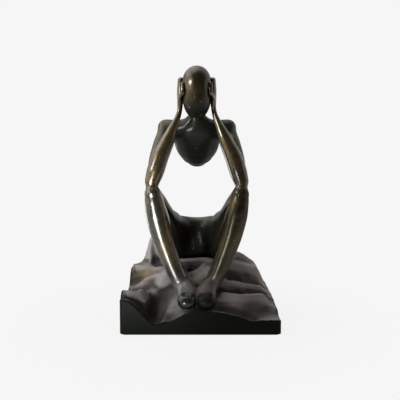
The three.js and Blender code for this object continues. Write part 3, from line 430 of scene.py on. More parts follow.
# Colours, as screen values of 0 to 255
BACKGROUND = (246, 246, 246)
BRONZE_GREEN = (43, 43, 33)
BRONZE_BROWN = (60, 51, 37)
BRONZE_WORN = (128, 102, 50)
BRONZE_DUST_AND_TOP_LIGHT = (108, 102, 101)
BRONZE_PAINTED_SHADE = (21, 22, 17)
BRONZE_SPECK = (200, 182, 130)
# The rock's colour with painted light: darker on steep faces, paler on what faces up
ROCK_STEEP_SHADED = ((37, 29, 25), (56, 46, 39))
ROCK_FLAT_LIT = ((97, 92, 88), (127, 120, 115))
ROCK_PALE = (146, 136, 129)
ROCK_GOLD = (114, 97, 60)
ROCK_HOLLOW_SHADE = (34, 28, 24)
ROCK_RIDGE_HIGHLIGHT = (156, 148, 143)
ROCK_SPECK = (190, 170, 125)
ROCK_SIDE = (20, 20, 13)
BOARD = ((92, 68, 44), (134, 104, 70))
FELT = ((20, 40, 28), (40, 66, 48))
FELT_LINT = (60, 84, 66)
# Metals: clean colour, tarnished colour, roughness
BRASS = ((178, 142, 82), (120, 92, 50), 0.25)
STEEL = ((150, 152, 156), (108, 108, 110), 0.28)

# Shader details
EDGE_TINT = (0.35, 0.34, 0.32, 1.0)  # the figure's edges don't turn to mirrors
SPECK_CORE = 0.5  # the share of a speck's size that is full
SPECK_EDGE = 0.02
SIDE_RAGGED = 0.0004
SIDE_BORDER = (-0.0022, -0.0009)
TURNED_STRETCH = (1, 1, 0.08)
BOARD_STRETCH = (0.12, 1, 1)

# Room and floor
FLOOR_HALF = 6000
FLOOR_ROUGHNESS = 0.9
FLOOR_SPECULAR = 0.1
FLOOR_FADE = (-0.5, -0.24)  # over this stretch the floor goes from the room's level to white
SHADOW_FADE = (0.08, 0.24)  # over this stretch from the middle the shadow ends
SHADOW_SHARE = 0.95  # how much of the floor's white near the base doesn't take the shadow
ROOM_LIGHT = 0.12  # even light from all round
ROOM_DIM = 0.12  # the room on the front side of the figure, as the camera and reflections see it
SKY_LEAN = 0.3  # how much the white backdrop leans over the figure
SKY_FADE = (-0.05, 0.5)

# Soft lamps: (name, place, target, size, power, colour, spread in degrees)
SKY = (0.76, 0.88, 1.0)
COOL = (0.93, 0.97, 1.0)
WARM = (1.0, 0.985, 0.965)
LAMPS = [
    ("low", (-0.148, -0.217, 0.085), (-0.08, -0.04, 0.1), (0.16, 0.17), 0.16, SKY, 34),
    ("edge", (-0.33, 0.23, 0.03), (0.03, -0.03, 0.17), (0.12, 0.12), 0.02, COOL, 40),
    ("high", (-0.26, -0.195, 0.3), (0, -0.03, 0.245), (0.11, 0.07), 0.085, COOL, 60),
    ("window", (0.7, -0.1, 0.3), (0, 0, 0.13), (0.25, 0.4), 0.2, COOL, 180),
    ("side", (-0.9, -0.1, 0.5), (0, 0, 0.05), (1.0, 1.0), 4.5, WARM, 180),
    ("overhead", (-0.35, 0.15, 0.9), (0, 0, 0.13), (1.0, 1.0), 4.5, WARM, 180),
]


def unit(vector):
    return vector / np.linalg.norm(vector)


def vec(x, y, z):
    return np.array([x, y, z], float)


# Lofts

def spline(points, shares, tension=None):
    """Points of a Catmull-Rom line, centripetal or with an even tension."""
    points = np.asarray(points, float)
    padded = np.vstack([2 * points[0] - points[1], points, 2 * points[-1] - points[-2]])
    place = np.asarray(shares, float) * (len(points) - 1)
    index = np.clip(place.astype(int), 0, len(points) - 2)
    w = (place - index)[:, None]
    p0, p1, p2, p3 = (padded[index + k] for k in range(4))
    if tension is None:
        d0, d1, d2 = (
            np.sqrt(np.linalg.norm(b - a, axis=1))[:, None]
            for a, b in ((p0, p1), (p1, p2), (p2, p3))
        )
        leave = ((p1 - p0) / d0 - (p2 - p0) / (d0 + d1) + (p2 - p1) / d1) * d1
        arrive = ((p2 - p1) / d1 - (p3 - p1) / (d1 + d2) + (p3 - p2) / d2) * d1
    else:
        leave = tension * (p2 - p0)
        arrive = tension * (p3 - p1)
    return (
        (2 * w**3 - 3 * w**2 + 1) * p1
        + (w**3 - 2 * w**2 + w) * leave
        + (3 * w**2 - 2 * w**3) * p2
        + (w**3 - w**2) * arrive
    )


def loft(stops, across, start_cap, end_cap, sides=LOFT_SIDES, steps=LOFT_STEPS, square=2):
    """Oval rings along a smooth line, with rounded ends: (points, faces).
    Each stop is (place, half size along across, half size the other way).
    A square above 2 makes the ovals boxier."""
    line = [stop[0] for stop in stops]
    sizes = [(stop[1], stop[2], 0) for stop in stops]
    count = (len(stops) - 1) * steps
    cap = np.arange(1, CAP_STEPS) / CAP_STEPS * math.pi / 2
    shares = np.concatenate([np.zeros(len(cap)), np.arange(count + 1) / count, np.ones(len(cap))])
    grow = np.concatenate([np.sin(cap), np.ones(count + 1), np.cos(cap)])
    shift = np.concatenate([-start_cap * np.cos(cap), np.zeros(count + 1), end_cap * np.sin(cap)])
    ahead = spline(line, np.minimum(shares + TANGENT_STEP, 1))
    behind = spline(line, np.maximum(shares - TANGENT_STEP, 0))
    tangent = ahead - behind
    tangent /= np.linalg.norm(tangent, axis=1)[:, None]
    centre = spline(line, shares) + tangent * shift[:, None]
    wide_axis = across - tangent * (tangent @ across)[:, None]
    wide_axis /= np.linalg.norm(wide_axis, axis=1)[:, None]
    deep_axis = np.cross(tangent, wide_axis)
    half = spline(sizes, shares, GIRTH_TENSION) * grow[:, None]
    angle = 2 * math.pi * np.arange(sides) / sides
    sideways = np.sign(np.cos(angle)) * abs(np.cos(angle)) ** (2 / square)
    upward = np.sign(np.sin(angle)) * abs(np.sin(angle)) ** (2 / square)
    rings = (
        centre[:, None]
        + (half[:, 0, None] * sideways)[..., None] * wide_axis[:, None]
        + (half[:, 1, None] * upward)[..., None] * deep_axis[:, None]
    )
    ring_count = len(shares)
    poles = np.array([
        np.asarray(line[0], float) - tangent[0] * start_cap,
        np.asarray(line[-1], float) + tangent[-1] * end_cap,
    ])
    points = np.vstack([rings.reshape(-1, 3), poles])
    here = np.arange(sides)
    after = (here + 1) % sides
    faces = []
    for low in range(0, (ring_count - 1) * sides, sides):
        high = low + sides
        faces += np.stack([low + here, low + after, high + after, high + here], axis=1).tolist()
    start_pole = ring_count * sides
    last = (ring_count - 1) * sides
    faces += [[start_pole, int(b), int(a)] for a, b in zip(here, after)]
    faces += [[start_pole + 1, int(last + a), int(last + b)] for a, b in zip(here, after)]
    return points, faces


# Meshes and their booleans

def new_object(name, points, faces):
    mesh = bpy.data.meshes.new(name)
    mesh.from_pydata((np.asarray(points) * MM).tolist(), [], faces)
    mesh.update()
    return link(name, mesh)


def link(name, data):
    obj = bpy.data.objects.new(name, data)
    bpy.context.scene.collection.objects.link(obj)
    return obj


def discard(*objs):
    for obj in objs:
        mesh = obj.data
        bpy.data.objects.remove(obj)
        bpy.data.meshes.remove(mesh)


def set_all(thing, settings):
    for key, value in settings.items():
        setattr(thing, key, value)


def modify(obj, kind, **settings):
    """Puts a modifier on an object and applies it."""
    set_all(obj.modifiers.new(kind, kind), settings)
    bpy.context.view_layer.update()
    depsgraph = bpy.context.evaluated_depsgraph_get()
    mesh = bpy.data.meshes.new_from_object(obj.evaluated_get(depsgraph), depsgraph=depsgraph)
    old = obj.data
    obj.modifiers.clear()
    obj.data = mesh
    bpy.data.meshes.remove(old)
    return obj


def boolean(obj, other, operation):
    return modify(obj, "BOOLEAN", solver="MANIFOLD", operation=operation, object=other)


def copy_of(obj, name):
    return link(name, obj.data.copy())


def read(items, key, width, kind=np.float32):
    """One property of all items, a row for each."""
    values = np.empty(len(items) * width, kind)
    items.foreach_get(key, values)
    return values.reshape(-1, width)


def read_points(mesh):
    return read(mesh.vertices, "co", 3).astype(float) / MM


def write_points(mesh, points):
    mesh.vertices.foreach_set("co", (points * MM).astype(np.float32).ravel())
    mesh.update()


def edge_pairs(mesh):
    return read(mesh.edges, "vertices", 2, np.int32)


def neighbour_mean(values, pairs):
    """The mean of each point's neighbours along the edges."""
    count = len(values)
    ends = np.concatenate([pairs[:, 0], pairs[:, 1]])
    others = np.concatenate([pairs[:, 1], pairs[:, 0]])
    degree = np.maximum(np.bincount(ends, minlength=count), 1)
    columns = [np.bincount(ends, values[others, k], count) / degree for k in range(values.shape[1])]
    return np.stack(columns, axis=1)


def relax(mesh, weights, rounds):
    """Moves each point towards the mean of its neighbours, by its weight."""
    points = read_points(mesh)
    pairs = edge_pairs(mesh)
    touched = weights > 0
    pairs = pairs[touched[pairs[:, 0]] | touched[pairs[:, 1]]]
    used, local = np.unique(pairs, return_inverse=True)
    local = local.reshape(-1, 2)
    patch = points[used]
    pace = np.where(touched[used], weights[used], 0)[:, None]
    for _ in range(rounds):
        patch += (neighbour_mean(patch, local) - patch) * pace
    points[used] = patch
    write_points(mesh, points)


def even_out(mesh, rounds):
    """Takes out the remesh's steps and keeps the girths: each round shrinks, then grows back."""
    points = read_points(mesh)
    pairs = edge_pairs(mesh)
    for _ in range(rounds):
        for pace in (SHRINK_PACE, GROW_PACE):
            points += pace * (neighbour_mean(points, pairs) - points)
    write_points(mesh, points)


@contextmanager
def edited(mesh):
    """A mesh open for edits, which are written back at the end."""
    bm = bmesh.new()
    bm.from_mesh(mesh)
    yield bm
    bm.to_mesh(mesh)
    bm.free()


def cut(obj, point, normal):
    """Keeps the part of a closed mesh on the side that the normal points to, and closes it."""
    with edited(obj.data) as bm:
        found = bmesh.ops.bisect_plane(
            bm,
            geom=bm.verts[:] + bm.edges[:] + bm.faces[:],
            plane_co=Vector(point * MM),
            plane_no=Vector(normal),
            clear_inner=True,
        )
        rim = [part for part in found["geom_cut"] if isinstance(part, bmesh.types.BMEdge)]
        if rim:
            bmesh.ops.holes_fill(bm, edges=rim, sides=0)
        bmesh.ops.recalc_face_normals(bm, faces=bm.faces[:])
    return obj


# Rock surface

def smoothstep(value, low, high):
    t = np.clip((value - low) / (high - low), 0, 1)
    return t * t * (3 - 2 * t)


def outline_height(outline, place):
    """The height of a smooth line through an outline's points."""
    stations = np.array([point[0] for point in outline], float)
    heights = np.array([point[1] for point in outline], float)
    slopes = np.empty(len(outline))
    slopes[1:-1] = (heights[2:] - heights[:-2]) / (stations[2:] - stations[:-2])
    slopes[0] = (heights[1] - heights[0]) / (stations[1] - stations[0])
    slopes[-1] = (heights[-1] - heights[-2]) / (stations[-1] - stations[-2])
    index = np.clip(np.searchsorted(stations, place) - 1, 0, len(outline) - 2)
    span = stations[index + 1] - stations[index]
    t = np.clip((place - stations[index]) / span, 0, 1)
    rest = 1 - t
    start = heights[index] * (1 + 2 * t) + slopes[index] * span * t
    end = heights[index + 1] * (3 - 2 * t) - slopes[index + 1] * span * rest
    return start * rest**2 + end * t**2


def away_from_line(x, y, start_x, start_y, end_x, end_y):
    """How far places lie from the nearest point of a straight line, along X and along Y."""
    run_x = end_x - start_x
    run_y = end_y - start_y
    share = np.clip(((x - start_x) * run_x + (y - start_y) * run_y) / (run_x**2 + run_y**2), 0, 1)
    return x - start_x - share * run_x, y - start_y - share * run_y


def ledge_height(x, y, ledge):
    *ends, rise, front, back = ledge
    away_x, away_y = away_from_line(x, y, *ends)
    reach = np.where(away_y < 0, front, back)
    return rise * np.exp(-(away_x**2) / (front * back) - (away_y / reach) ** 2)


def rock_height(x, y):
    away = np.hypot((x - FIGURE_X) / MOUND_REACH_X, (y - MOUND_CENTRE_Y) / MOUND_REACH_Y)
    height = PLINTH_HEIGHT + MOUND_RISE * np.exp(-(away**3))
    for ledge in LEDGES:
        height = height + ledge_height(x, y, ledge)
    banks = [
        (RIGHT_OUTLINE, y, x + BASE_HALF_X, RIGHT_BANK),
        (LEFT_OUTLINE, y, BASE_HALF_X - x, LEFT_BANK),
        (FRONT_OUTLINE, x, y + BASE_HALF_Y, FRONT_BANK),
    ]
    for outline, along, inside, bank in banks:
        edge = outline_height(outline, along)
        height = edge + (height - edge) * smoothstep(inside, 0, bank)
    return height


def fold_height(x, y, fold):
    """A ridge or groove of even width along a line of points."""
    rise, width, line = fold
    away = [np.hypot(*away_from_line(x, y, *start, *end)) for start, end in zip(line, line[1:])]
    return rise * np.exp(-((np.min(away, axis=0) / width) ** 2))


def lump_height(x, y):
    spots = [Vector((a, b, 0)) for a, b in zip(np.ravel(x) / LUMP_SIZE, np.ravel(y) / LUMP_SIZE)]
    values = [noise.fractal(spot, LUMP_FALLOFF, LUMP_GAP, LUMP_OCTAVES) for spot in spots]
    return LUMP_RISE * np.reshape(values, np.shape(x))


def inside_edge(x, y):
    """How far a place lies inside the base's rounded square."""
    over_x = np.maximum(abs(x) - (BASE_HALF_X - BASE_CORNER), 0)
    over_y = np.maximum(abs(y) - (BASE_HALF_Y - BASE_CORNER), 0)
    corner = BASE_CORNER - np.hypot(over_x, over_y)
    straight = np.minimum(BASE_HALF_X - abs(x), BASE_HALF_Y - abs(y))
    return np.where((over_x > 0) & (over_y > 0), corner, straight)


def under_figure(x, y):
    """1 under the soles and the seat, where the rock keeps its plain surface."""
    seat = np.hypot((x - FIGURE_X) / SEAT_REST[0], (y - SEAT_Y) / SEAT_REST[1])
    sole_y = HEEL_Y - FOOT_STUD_FORWARD
    soles = np.hypot((x - FIGURE_X) / SOLE_REST[0], (y - sole_y) / SOLE_REST[1])
    return 1 - smoothstep(np.minimum(seat, soles), *REST_FADE)


def rock_surface(x, y):
    """The rock's height with its folds, its lumps and a rounded rim."""
    detail = lump_height(x, y)
    for fold in FOLDS + CREASES:
        detail = detail + fold_height(x, y, fold)
    inside = np.clip(inside_edge(x, y), 0, RIM_FILLET)
    rim = RIM_FILLET - np.sqrt(RIM_FILLET**2 - (RIM_FILLET - inside) ** 2)
    dip = fold_height(x, y, TOE_DIP)
    return rock_height(x, y) + detail * (1 - under_figure(x, y)) + dip - rim


def terrain_block(name, lower):
    """A block from the base's lower edge up to the rock's surface, lowered by an amount."""
    columns = round(BASE_WIDTH / ROCK_CELL)
    rows = round(BASE_DEPTH / ROCK_CELL)
    xs = np.linspace(-BASE_HALF_X, BASE_HALF_X, columns + 1)
    ys = np.linspace(-BASE_HALF_Y, BASE_HALF_Y, rows + 1)
    x, y = np.meshgrid(xs, ys)
    z = np.maximum(rock_surface(x, y) - lower, RIM_BOTTOM + LEAST_RISE)
    top = np.stack([x, y, z], axis=-1).reshape(-1, 3)
    index = np.arange((rows + 1) * (columns + 1)).reshape(rows + 1, columns + 1)
    quads = np.stack([index[:-1, :-1], index[:-1, 1:], index[1:, 1:], index[1:, :-1]], axis=-1)
    faces = quads.reshape(-1, 4).tolist()
    rim = np.concatenate([index[0, :-1], index[:-1, -1], index[-1, :0:-1], index[:0:-1, 0]])
    foot = top[rim].copy()
    foot[:, 2] = RIM_BOTTOM
    first = len(top)
    count = len(rim)
    turns = [(k, (k + 1) % count) for k in range(count)]
    faces += [[int(rim[after]), int(rim[k]), first + k, first + after] for k, after in turns]
    faces.append([first + k for k in reversed(range(count))])
    return new_object(name, np.vstack([top, foot]), faces)


def base_slab():
    """The base's rounded square, from the table to above the rock."""
    plan = []
    for quarter, (sign_x, sign_y) in enumerate([(1, 1), (-1, 1), (-1, -1), (1, -1)]):
        for k in range(CORNER_STEPS + 1):
            angle = (quarter + k / CORNER_STEPS) * math.pi / 2
            plan.append((
                sign_x * (BASE_HALF_X - BASE_CORNER) + BASE_CORNER * math.cos(angle),
                sign_y * (BASE_HALF_Y - BASE_CORNER) + BASE_CORNER * math.sin(angle),
            ))
    count = len(plan)
    points = [(x, y, level) for level in (0, SLAB_TOP) for x, y in plan]
    faces = [list(reversed(range(count))), list(range(count, 2 * count))]
    faces += [[k, (k + 1) % count, count + (k + 1) % count, count + k] for k in range(count)]
    return new_object("slab", points, faces)


# The figure's joints

def beside(side, out, y, z):
    """A place out to one side of the figure's middle."""
    return vec(FIGURE_X + side * out, y, z)


def sole_height():
    under = [rock_height(FIGURE_X + side * HEEL_OUT, HEEL_Y - FOOT_STUD_FORWARD) for side in (-1, 1)]
    return float(sum(under)) / 2 - SOLE_SINK


SOLE = sole_height()
LAP_HEIGHT = float(rock_height(FIGURE_X, SEAT_Y)) - SEAT_SINK + LAP_HALF_HEIGHT
LAP_CENTRE = vec(FIGURE_X, SEAT_Y, LAP_HEIGHT)
NECK_TOP = vec(FIGURE_X, SHOULDER_Y - NECK_FORWARD, SHOULDER_HEIGHT + NECK_RISE)
HEAD_CENTRE = NECK_TOP + vec(0, -HEAD_FORWARD, HEAD_RISE)
CHEST_TIP = vec(FIGURE_X, SHOULDER_Y + CHEST_BACK, SHOULDER_HEIGHT - CHEST_DROP)


def hand_place(side, share, inward, back):
    out = HEAD_HALF_WIDTH + HAND_HALF_THICKNESS - inward * HAND_HALF_THICKNESS
    return vec(
        FIGURE_X + side * out,
        HEAD_CENTRE[1] + WRIST_BACK + back,
        HEAD_CENTRE[2] - WRIST_DROP + share * HAND_LENGTH,
    )


def joints_of(side):
    knee = beside(side, KNEE_OUT, KNEE_Y, KNEE_HEIGHT)
    to_elbow = vec(side * ELBOW_OUT, ELBOW_BACK, ELBOW_RISE)
    collar_out, collar_ahead, collar_drop = COLLAR_PLACE
    instep_ahead, instep_rise = INSTEP_PLACE
    toes_ahead, toes_rise = TOES_PLACE
    return {
        "knee": knee,
        "elbow": knee + to_elbow,
        "waist": knee + to_elbow / 2,
        "hip": beside(side, HIP_OUT, SEAT_Y - HIP_FORWARD, LAP_HEIGHT + HIP_RISE),
        "ankle": beside(side, ANKLE_OUT, ANKLE_Y, SOLE + ANKLE_RISE),
        "heel": beside(side, HEEL_OUT, HEEL_Y, SOLE),
        "instep": beside(side, FOOT_OUT, HEEL_Y - instep_ahead, SOLE + instep_rise),
        "toes": beside(side, FOOT_OUT, HEEL_Y - toes_ahead, SOLE + toes_rise),
        "collar": beside(side, collar_out, SHOULDER_Y - collar_ahead, SHOULDER_HEIGHT - collar_drop),
        "shoulder": beside(side, SHOULDER_OUT, SHOULDER_Y, SHOULDER_HEIGHT),
        "wrist": hand_place(side, 0, WRIST_INWARD, 0),
    }


JOINTS = {name: joints_of(side) for name, side in SIDES.items()}


# The figure's forms, as lofts

def limb_stops(name, limb):
    """The loft stops of a limb, from its first joint to its last."""
    first, last, radius, girths = LIMBS[limb]
    start = JOINTS[name][first]
    run = JOINTS[name][last] - start
    stops = []
    for share, outward, back, wide, deep in girths:
        place = start + run * share + vec(SIDES[name] * outward * radius, back * radius, 0)
        stops.append((place, wide * radius, deep * radius))
    return stops


def limb_form(name, limb):
    stops = limb_stops(name, limb)
    return loft(stops, X_AXIS, stops[0][1], stops[-1][1])


def chest_form():
    run = NECK_TOP - CHEST_TIP
    stops = []
    for share, lean, deep, wide in CHEST_GIRTHS:
        place = CHEST_TIP + run * share + vec(0, -lean * CHEST_HALF_DEPTH, 0)
        stops.append((place, wide * SHOULDER_OUT, deep * CHEST_HALF_DEPTH))
    for share, wide, deep in NECK_GIRTHS:
        stops.append((CHEST_TIP + run * share, wide * NECK_RADIUS, deep * NECK_RADIUS))
    end = NECK_TOP + (HEAD_CENTRE - NECK_TOP) * NECK_RUN
    stops.append((end, NECK_END_WIDE * NECK_RADIUS, NECK_END_DEEP * NECK_RADIUS))
    return loft(stops, X_AXIS, CHEST_TIP_ROUNDING, NECK_END_ROUNDING)


def yoke_form():
    stops = []
    for share in YOKE_SHARES:
        middle = 1 - share * share
        height = SHOULDER_HEIGHT - YOKE_DIP * middle
        place = beside(share, SHOULDER_OUT, SHOULDER_Y - YOKE_SWAY * middle, height)
        stops.append((place, SHOULDER_RADIUS, SHOULDER_RADIUS))
    return loft(stops, Y_AXIS, SHOULDER_RADIUS, SHOULDER_RADIUS)


def collar_form(name):
    """The soft run of flesh from the top of the chest to a shoulder."""
    stops = [
        (beside(SIDES[name], out, SHOULDER_Y - ahead, SHOULDER_HEIGHT - low), radius, radius)
        for out, ahead, low, radius in COLLAR
    ]
    return loft(stops, Y_AXIS, stops[0][1], stops[-1][1])


def lap_form():
    """Both thighs and the lap between them, from knee to knee."""
    shares = vec(FLANK_OUT, FLANK_FORWARD, FLANK_FORWARD)
    shift = vec(0, LAP_HALF_DEPTH - LAP_WALL, LAP_LIFT)
    stops = limb_stops("right", "thigh")
    for towards in (JOINTS["right"]["hip"], LAP_CENTRE, JOINTS["left"]["hip"]):
        place = LAP_CENTRE + (towards - LAP_CENTRE) * shares + shift
        stops.append((place, LAP_HALF_HEIGHT + LAP_LIFT, LAP_WALL))
    stops += limb_stops("left", "thigh")[::-1]
    return loft(stops, Z_AXIS, stops[0][1], stops[-1][1])


def waist_form(name):
    knee = JOINTS[name]["knee"]
    run = JOINTS[name]["elbow"] - knee
    stops = [
        (knee + run * share + vec(SIDES[name] * out, 0, 0), half_width, half_depth)
        for share, out, half_width, half_depth in WAIST
    ]
    return loft(stops, X_AXIS, WAIST_CAP, WAIST_CAP)


def instep_form(name):
    """The slope from the front of the ankle down to the toes."""
    stops = [
        (beside(SIDES[name], out, HEEL_Y - ahead, SOLE + rise), half_width, half_depth)
        for out, ahead, rise, half_width, half_depth in INSTEP
    ]
    return loft(stops, X_AXIS, INSTEP_CAP, TOE_CAP * FOOT_HALF_WIDTH, square=FOOT_SQUARE)


def foot_form(name):
    heel_cap = TOE_ROUNDING * FOOT_HALF_WIDTH
    toe_cap = TOE_CAP * FOOT_HALF_WIDTH
    stops = []
    for share, wide, deep in FOOT_GIRTHS:
        half_height = deep * FOOT_HALF_HEIGHT
        place = beside(SIDES[name], FOOT_OUT, HEEL_Y - share * FOOT_LENGTH, SOLE + half_height)
        stops.append((place, wide * FOOT_HALF_WIDTH, half_height))
    stops[-1][0][1] += toe_cap - heel_cap
    return loft(stops, X_AXIS, heel_cap, toe_cap, square=FOOT_SQUARE)


def forearm_stops(name):
    stops = [(place, deep, wide) for place, wide, deep in limb_stops(name, "forearm")]
    for share, out, back, breadth, thickness in HAND_GIRTHS:
        place = hand_place(SIDES[name], share, 0, back)
        place[0] = FIGURE_X + SIDES[name] * out
        stops.append((place, breadth, thickness))
    return stops


def forearm_form(name):
    stops = forearm_stops(name)
    return loft(stops, Y_AXIS, stops[0][2], FINGER_ROUNDING)


def thumb_form(name):
    side = SIDES[name]
    forward = THUMB_FORWARD / HEAD_HALF_DEPTH
    cheek = HEAD_HALF_WIDTH * math.sqrt(1 - forward**2) + THUMB_BEDDING * THUMB_RADIUS
    stops = []
    for share, inward, ahead, scale in THUMB_ROOT:
        stops.append((hand_place(side, share, inward, -ahead * HAND_HALF_BREADTH), scale))
    for share, scale in THUMB_END:
        place = hand_place(side, share, 0, -WRIST_BACK - THUMB_FORWARD)
        place[0] = FIGURE_X + side * cheek
        stops.append((place, scale))
    stops = [(place, scale * THUMB_RADIUS, scale * THUMB_RADIUS) for place, scale in stops]
    return loft(stops, Y_AXIS, THUMB_RADIUS, THUMB_RADIUS)


def head_object(name, swell):
    """A smooth egg that tips forward, grown all over by the amount swell."""
    mesh = bpy.data.meshes.new(name)
    nod = Matrix.Rotation(math.radians(HEAD_NOD), 3, "X")
    with edited(mesh) as bm:
        bmesh.ops.create_icosphere(bm, subdivisions=HEAD_SUBDIVISIONS, radius=1)
        for vertex in bm.verts:
            x, y, z = vertex.co
            roundness = CROWN_ROUNDNESS if z > 0 else CHIN_ROUNDNESS
            rise = CROWN_RISE if z > 0 else CHIN_DROP
            around = math.hypot(x, y)
            scale = around ** (2 / roundness)
            level = math.copysign(abs(z) ** (2 / roundness), z)
            spread = scale / around if around > POLE else 0
            place = Vector((
                x * spread * (HEAD_HALF_WIDTH + swell),
                y * spread * (HEAD_HALF_DEPTH + swell),
                level * (rise + swell),
            ))
            vertex.co = (nod @ place + Vector(HEAD_CENTRE)) * MM
    return link(name, mesh)


# One smooth skin, parted at the joint faces

def joined(name, forms):
    points = []
    faces = []
    first = 0
    for form_points, form_faces in forms:
        points.append(form_points)
        faces += [[first + k for k in face] for face in form_faces]
        first += len(form_points)
    return new_object(name, np.vstack(points), faces)


def figure_skin():
    forms = [chest_form(), yoke_form(), lap_form()]
    for name in SIDES:
        forms += [limb_form(name, "shin"), instep_form(name), foot_form(name)]
        forms += [limb_form(name, "upper_arm"), forearm_form(name), thumb_form(name)]
        forms += [collar_form(name), waist_form(name)]
    skin = joined("skin", forms)
    modify(skin, "REMESH", mode="VOXEL", voxel_size=FIGURE_VOXEL * MM, adaptivity=0)
    even_out(skin.data, SKIN_ROUNDS)
    zones = [
        (NECK_TOP - vec(0, 0, NECK_LOW), *NECK_BLEND),
        (LAP_CENTRE - vec(0, LAP_FRONT, 0), *LAP_BLEND),
        (CHEST_TIP, *TIP_BLEND),
    ]
    for joints in JOINTS.values():
        zones += [(joints[joint], reach, rounds) for joint, reach, rounds in BLENDS]
    for centre, reach, rounds in zones:
        away = np.linalg.norm(read_points(skin.data) - centre, axis=1)
        weights = BLEND_PACE * (1 - smoothstep(away, BLEND_CORE * reach, reach))
        relax(skin.data, weights, rounds)
    even_out(skin.data, LAST_ROUNDS)
    return skin


class SkinNormals:
    """The whole skin's normals, which its parted castings keep, so that no joint line shows."""

    def __init__(self, mesh):
        self.tree = KDTree(len(mesh.vertices))
        for index, vertex in enumerate(mesh.vertices):
            self.tree.insert(vertex.co, index)
        self.tree.balance()
        self.normals = [vertex.normal.copy() for vertex in mesh.vertices]

    def at(self, place):
        total = Vector((0, 0, 0))
        for _, index, away in self.tree.find_n(place, NORMAL_POINTS):
            total += self.normals[index] / (away + NORMAL_ROOM)
        return total.normalized()

    def near(self, mesh):
        return [self.at(vertex.co) for vertex in mesh.vertices]


def keep_normals(mesh, near):
    """A joint face, which turns away from the skin, keeps its own normal."""
    normals = []
    for face in mesh.polygons:
        for k in face.vertices:
            along_skin = near[k].dot(face.normal) > SEAM_TURN
            normals.append(near[k] if along_skin else face.normal)
    mesh.normals_split_custom_set(normals)


def plane_between(joint, a, b):
    """The normal of the plane between two limbs that leave a joint towards a and b."""
    return unit(unit(a - joint) - unit(b - joint))


def limb_cell(stops, across, planes):
    """A fat copy of a limb, cut back to its joint faces."""
    fat = [
        (place, CELL_ROOM * wide + CELL_MARGIN, CELL_ROOM * deep + CELL_MARGIN)
        for place, wide, deep in stops
    ]
    shape = loft(fat, across, CELL_CAP, CELL_CAP, sides=CELL_SIDES, steps=CELL_STEPS)
    cell = new_object("cell", *shape)
    for point, normal in planes:
        cut(cell, point, normal)
    return cell


def limb_cells():
    cells = {}
    for name, side in SIDES.items():
        joints = JOINTS[name]
        knee, elbow, shoulder = (joints[key] for key in ("knee", "elbow", "shoulder"))
        knee_normal = plane_between(knee, joints["hip"], joints["ankle"])
        elbow_normal = plane_between(elbow, shoulder, joints["wrist"])
        rest = (knee + elbow) / 2
        arm = elbow - shoulder
        stub = shoulder + arm * STUB_SHARE
        arm_faces = [(stub, unit(arm)), (elbow, elbow_normal), (rest, Z_AXIS)]
        cells[f"{name}_upper_arm"] = limb_cell(limb_stops(name, "upper_arm"), X_AXIS, arm_faces)
        hand = forearm_stops(name)
        for k in range(len(FOREARM_GIRTHS), len(hand)):
            place, breadth, thickness = hand[k]
            hand[k] = (place, breadth + HAND_CELL, thickness)
        cells[f"{name}_forearm"] = limb_cell(hand, Y_AXIS, [(elbow, -elbow_normal), (rest, Z_AXIS)])
        share, half_width, half_depth = FOOT_CELL
        foot = joints["heel"] + vec(0, -share * FOOT_LENGTH, 0)
        leg = limb_stops(name, "shin") + [(foot, half_width, half_depth)]
        between_feet = beside(side, FEET_GAP / 2, 0, 0)
        leg_faces = [(knee, -knee_normal), (rest, -Z_AXIS), (between_feet, side * X_AXIS)]
        cells[f"{name}_lower_leg"] = limb_cell(leg, X_AXIS, leg_faces)
    return cells


def part_skin(skin):
    """The castings by node name: each limb is what its cell holds, and the rest is torso and lap."""
    pieces = {}
    for node, cell in limb_cells().items():
        piece = copy_of(skin, node + "_casting")
        pieces[node] = boolean(piece, cell, "INTERSECT")
        boolean(skin, cell, "DIFFERENCE")
        discard(cell)
    rest = vec(0, 0, (JOINTS["left"]["knee"][2] + JOINTS["left"]["elbow"][2]) / 2)
    torso = copy_of(skin, "torso_casting")
    pieces["torso"] = cut(torso, rest, Z_AXIS)
    skin.name = "hips_and_thighs_casting"
    pieces["hips_and_thighs"] = cut(skin, rest, -Z_AXIS)
    return pieces


# Shader building

def srgb(red, green, blue):
    """A linear colour from screen values of 0 to 255."""
    channels = []
    for value in (red, green, blue):
        share = value / 255
        channels.append(share / 12.92 if share <= 0.04045 else ((share + 0.055) / 1.055) ** 2.4)
    return (*channels, 1.0)


class Nodes:
    """A node tree, with short calls for the nodes that this scene uses."""

    def __init__(self, tree):
        self.tree = tree

    def add(self, kind, inputs=None, **settings):
        node = self.tree.nodes.new(kind)
        set_all(node, settings)
        self.feed(node, inputs or {})
        return node

    def feed(self, node, inputs):
        """Puts a value, or a link from another node, on each input."""
        for key, value in inputs.items():
            if isinstance(value, bpy.types.NodeSocket):
                self.tree.links.new(value, node.inputs[key])
            else:
                node.inputs[key].default_value = value

    def span(self, value, low, high, to_low=0.0, to_high=1.0):
        """Goes smoothly from one level to another while the value goes from low to high."""
        if low > high:
            low, high, to_low, to_high = high, low, to_high, to_low
        inputs = {"Value": value, "From Min": low, "From Max": high, "To Min": to_low, "To Max": to_high}
        node = self.add("ShaderNodeMapRange", inputs, interpolation_type="SMOOTHSTEP")
        return node.outputs["Result"]

    def math(self, operation, *values):
        node = self.add("ShaderNodeMath", dict(enumerate(values)), operation=operation)
        return node.outputs["Value"]

    def times(self, a, b):
        return self.math("MULTIPLY", a, b)

    def plus(self, a, b):
        return self.math("ADD", a, b)

    def part(self, vector, axis):
        return self.add("ShaderNodeSeparateXYZ", {"Vector": vector}).outputs[axis]

    def seen_directly(self):
        """1 for what the camera, a reflection or a clear material sees."""
        path = self.add("ShaderNodeLightPath").outputs
        seen = self.math("MAXIMUM", path["Is Camera Ray"], path["Is Glossy Ray"])
        return self.math("MAXIMUM", seen, path["Is Transmission Ray"])


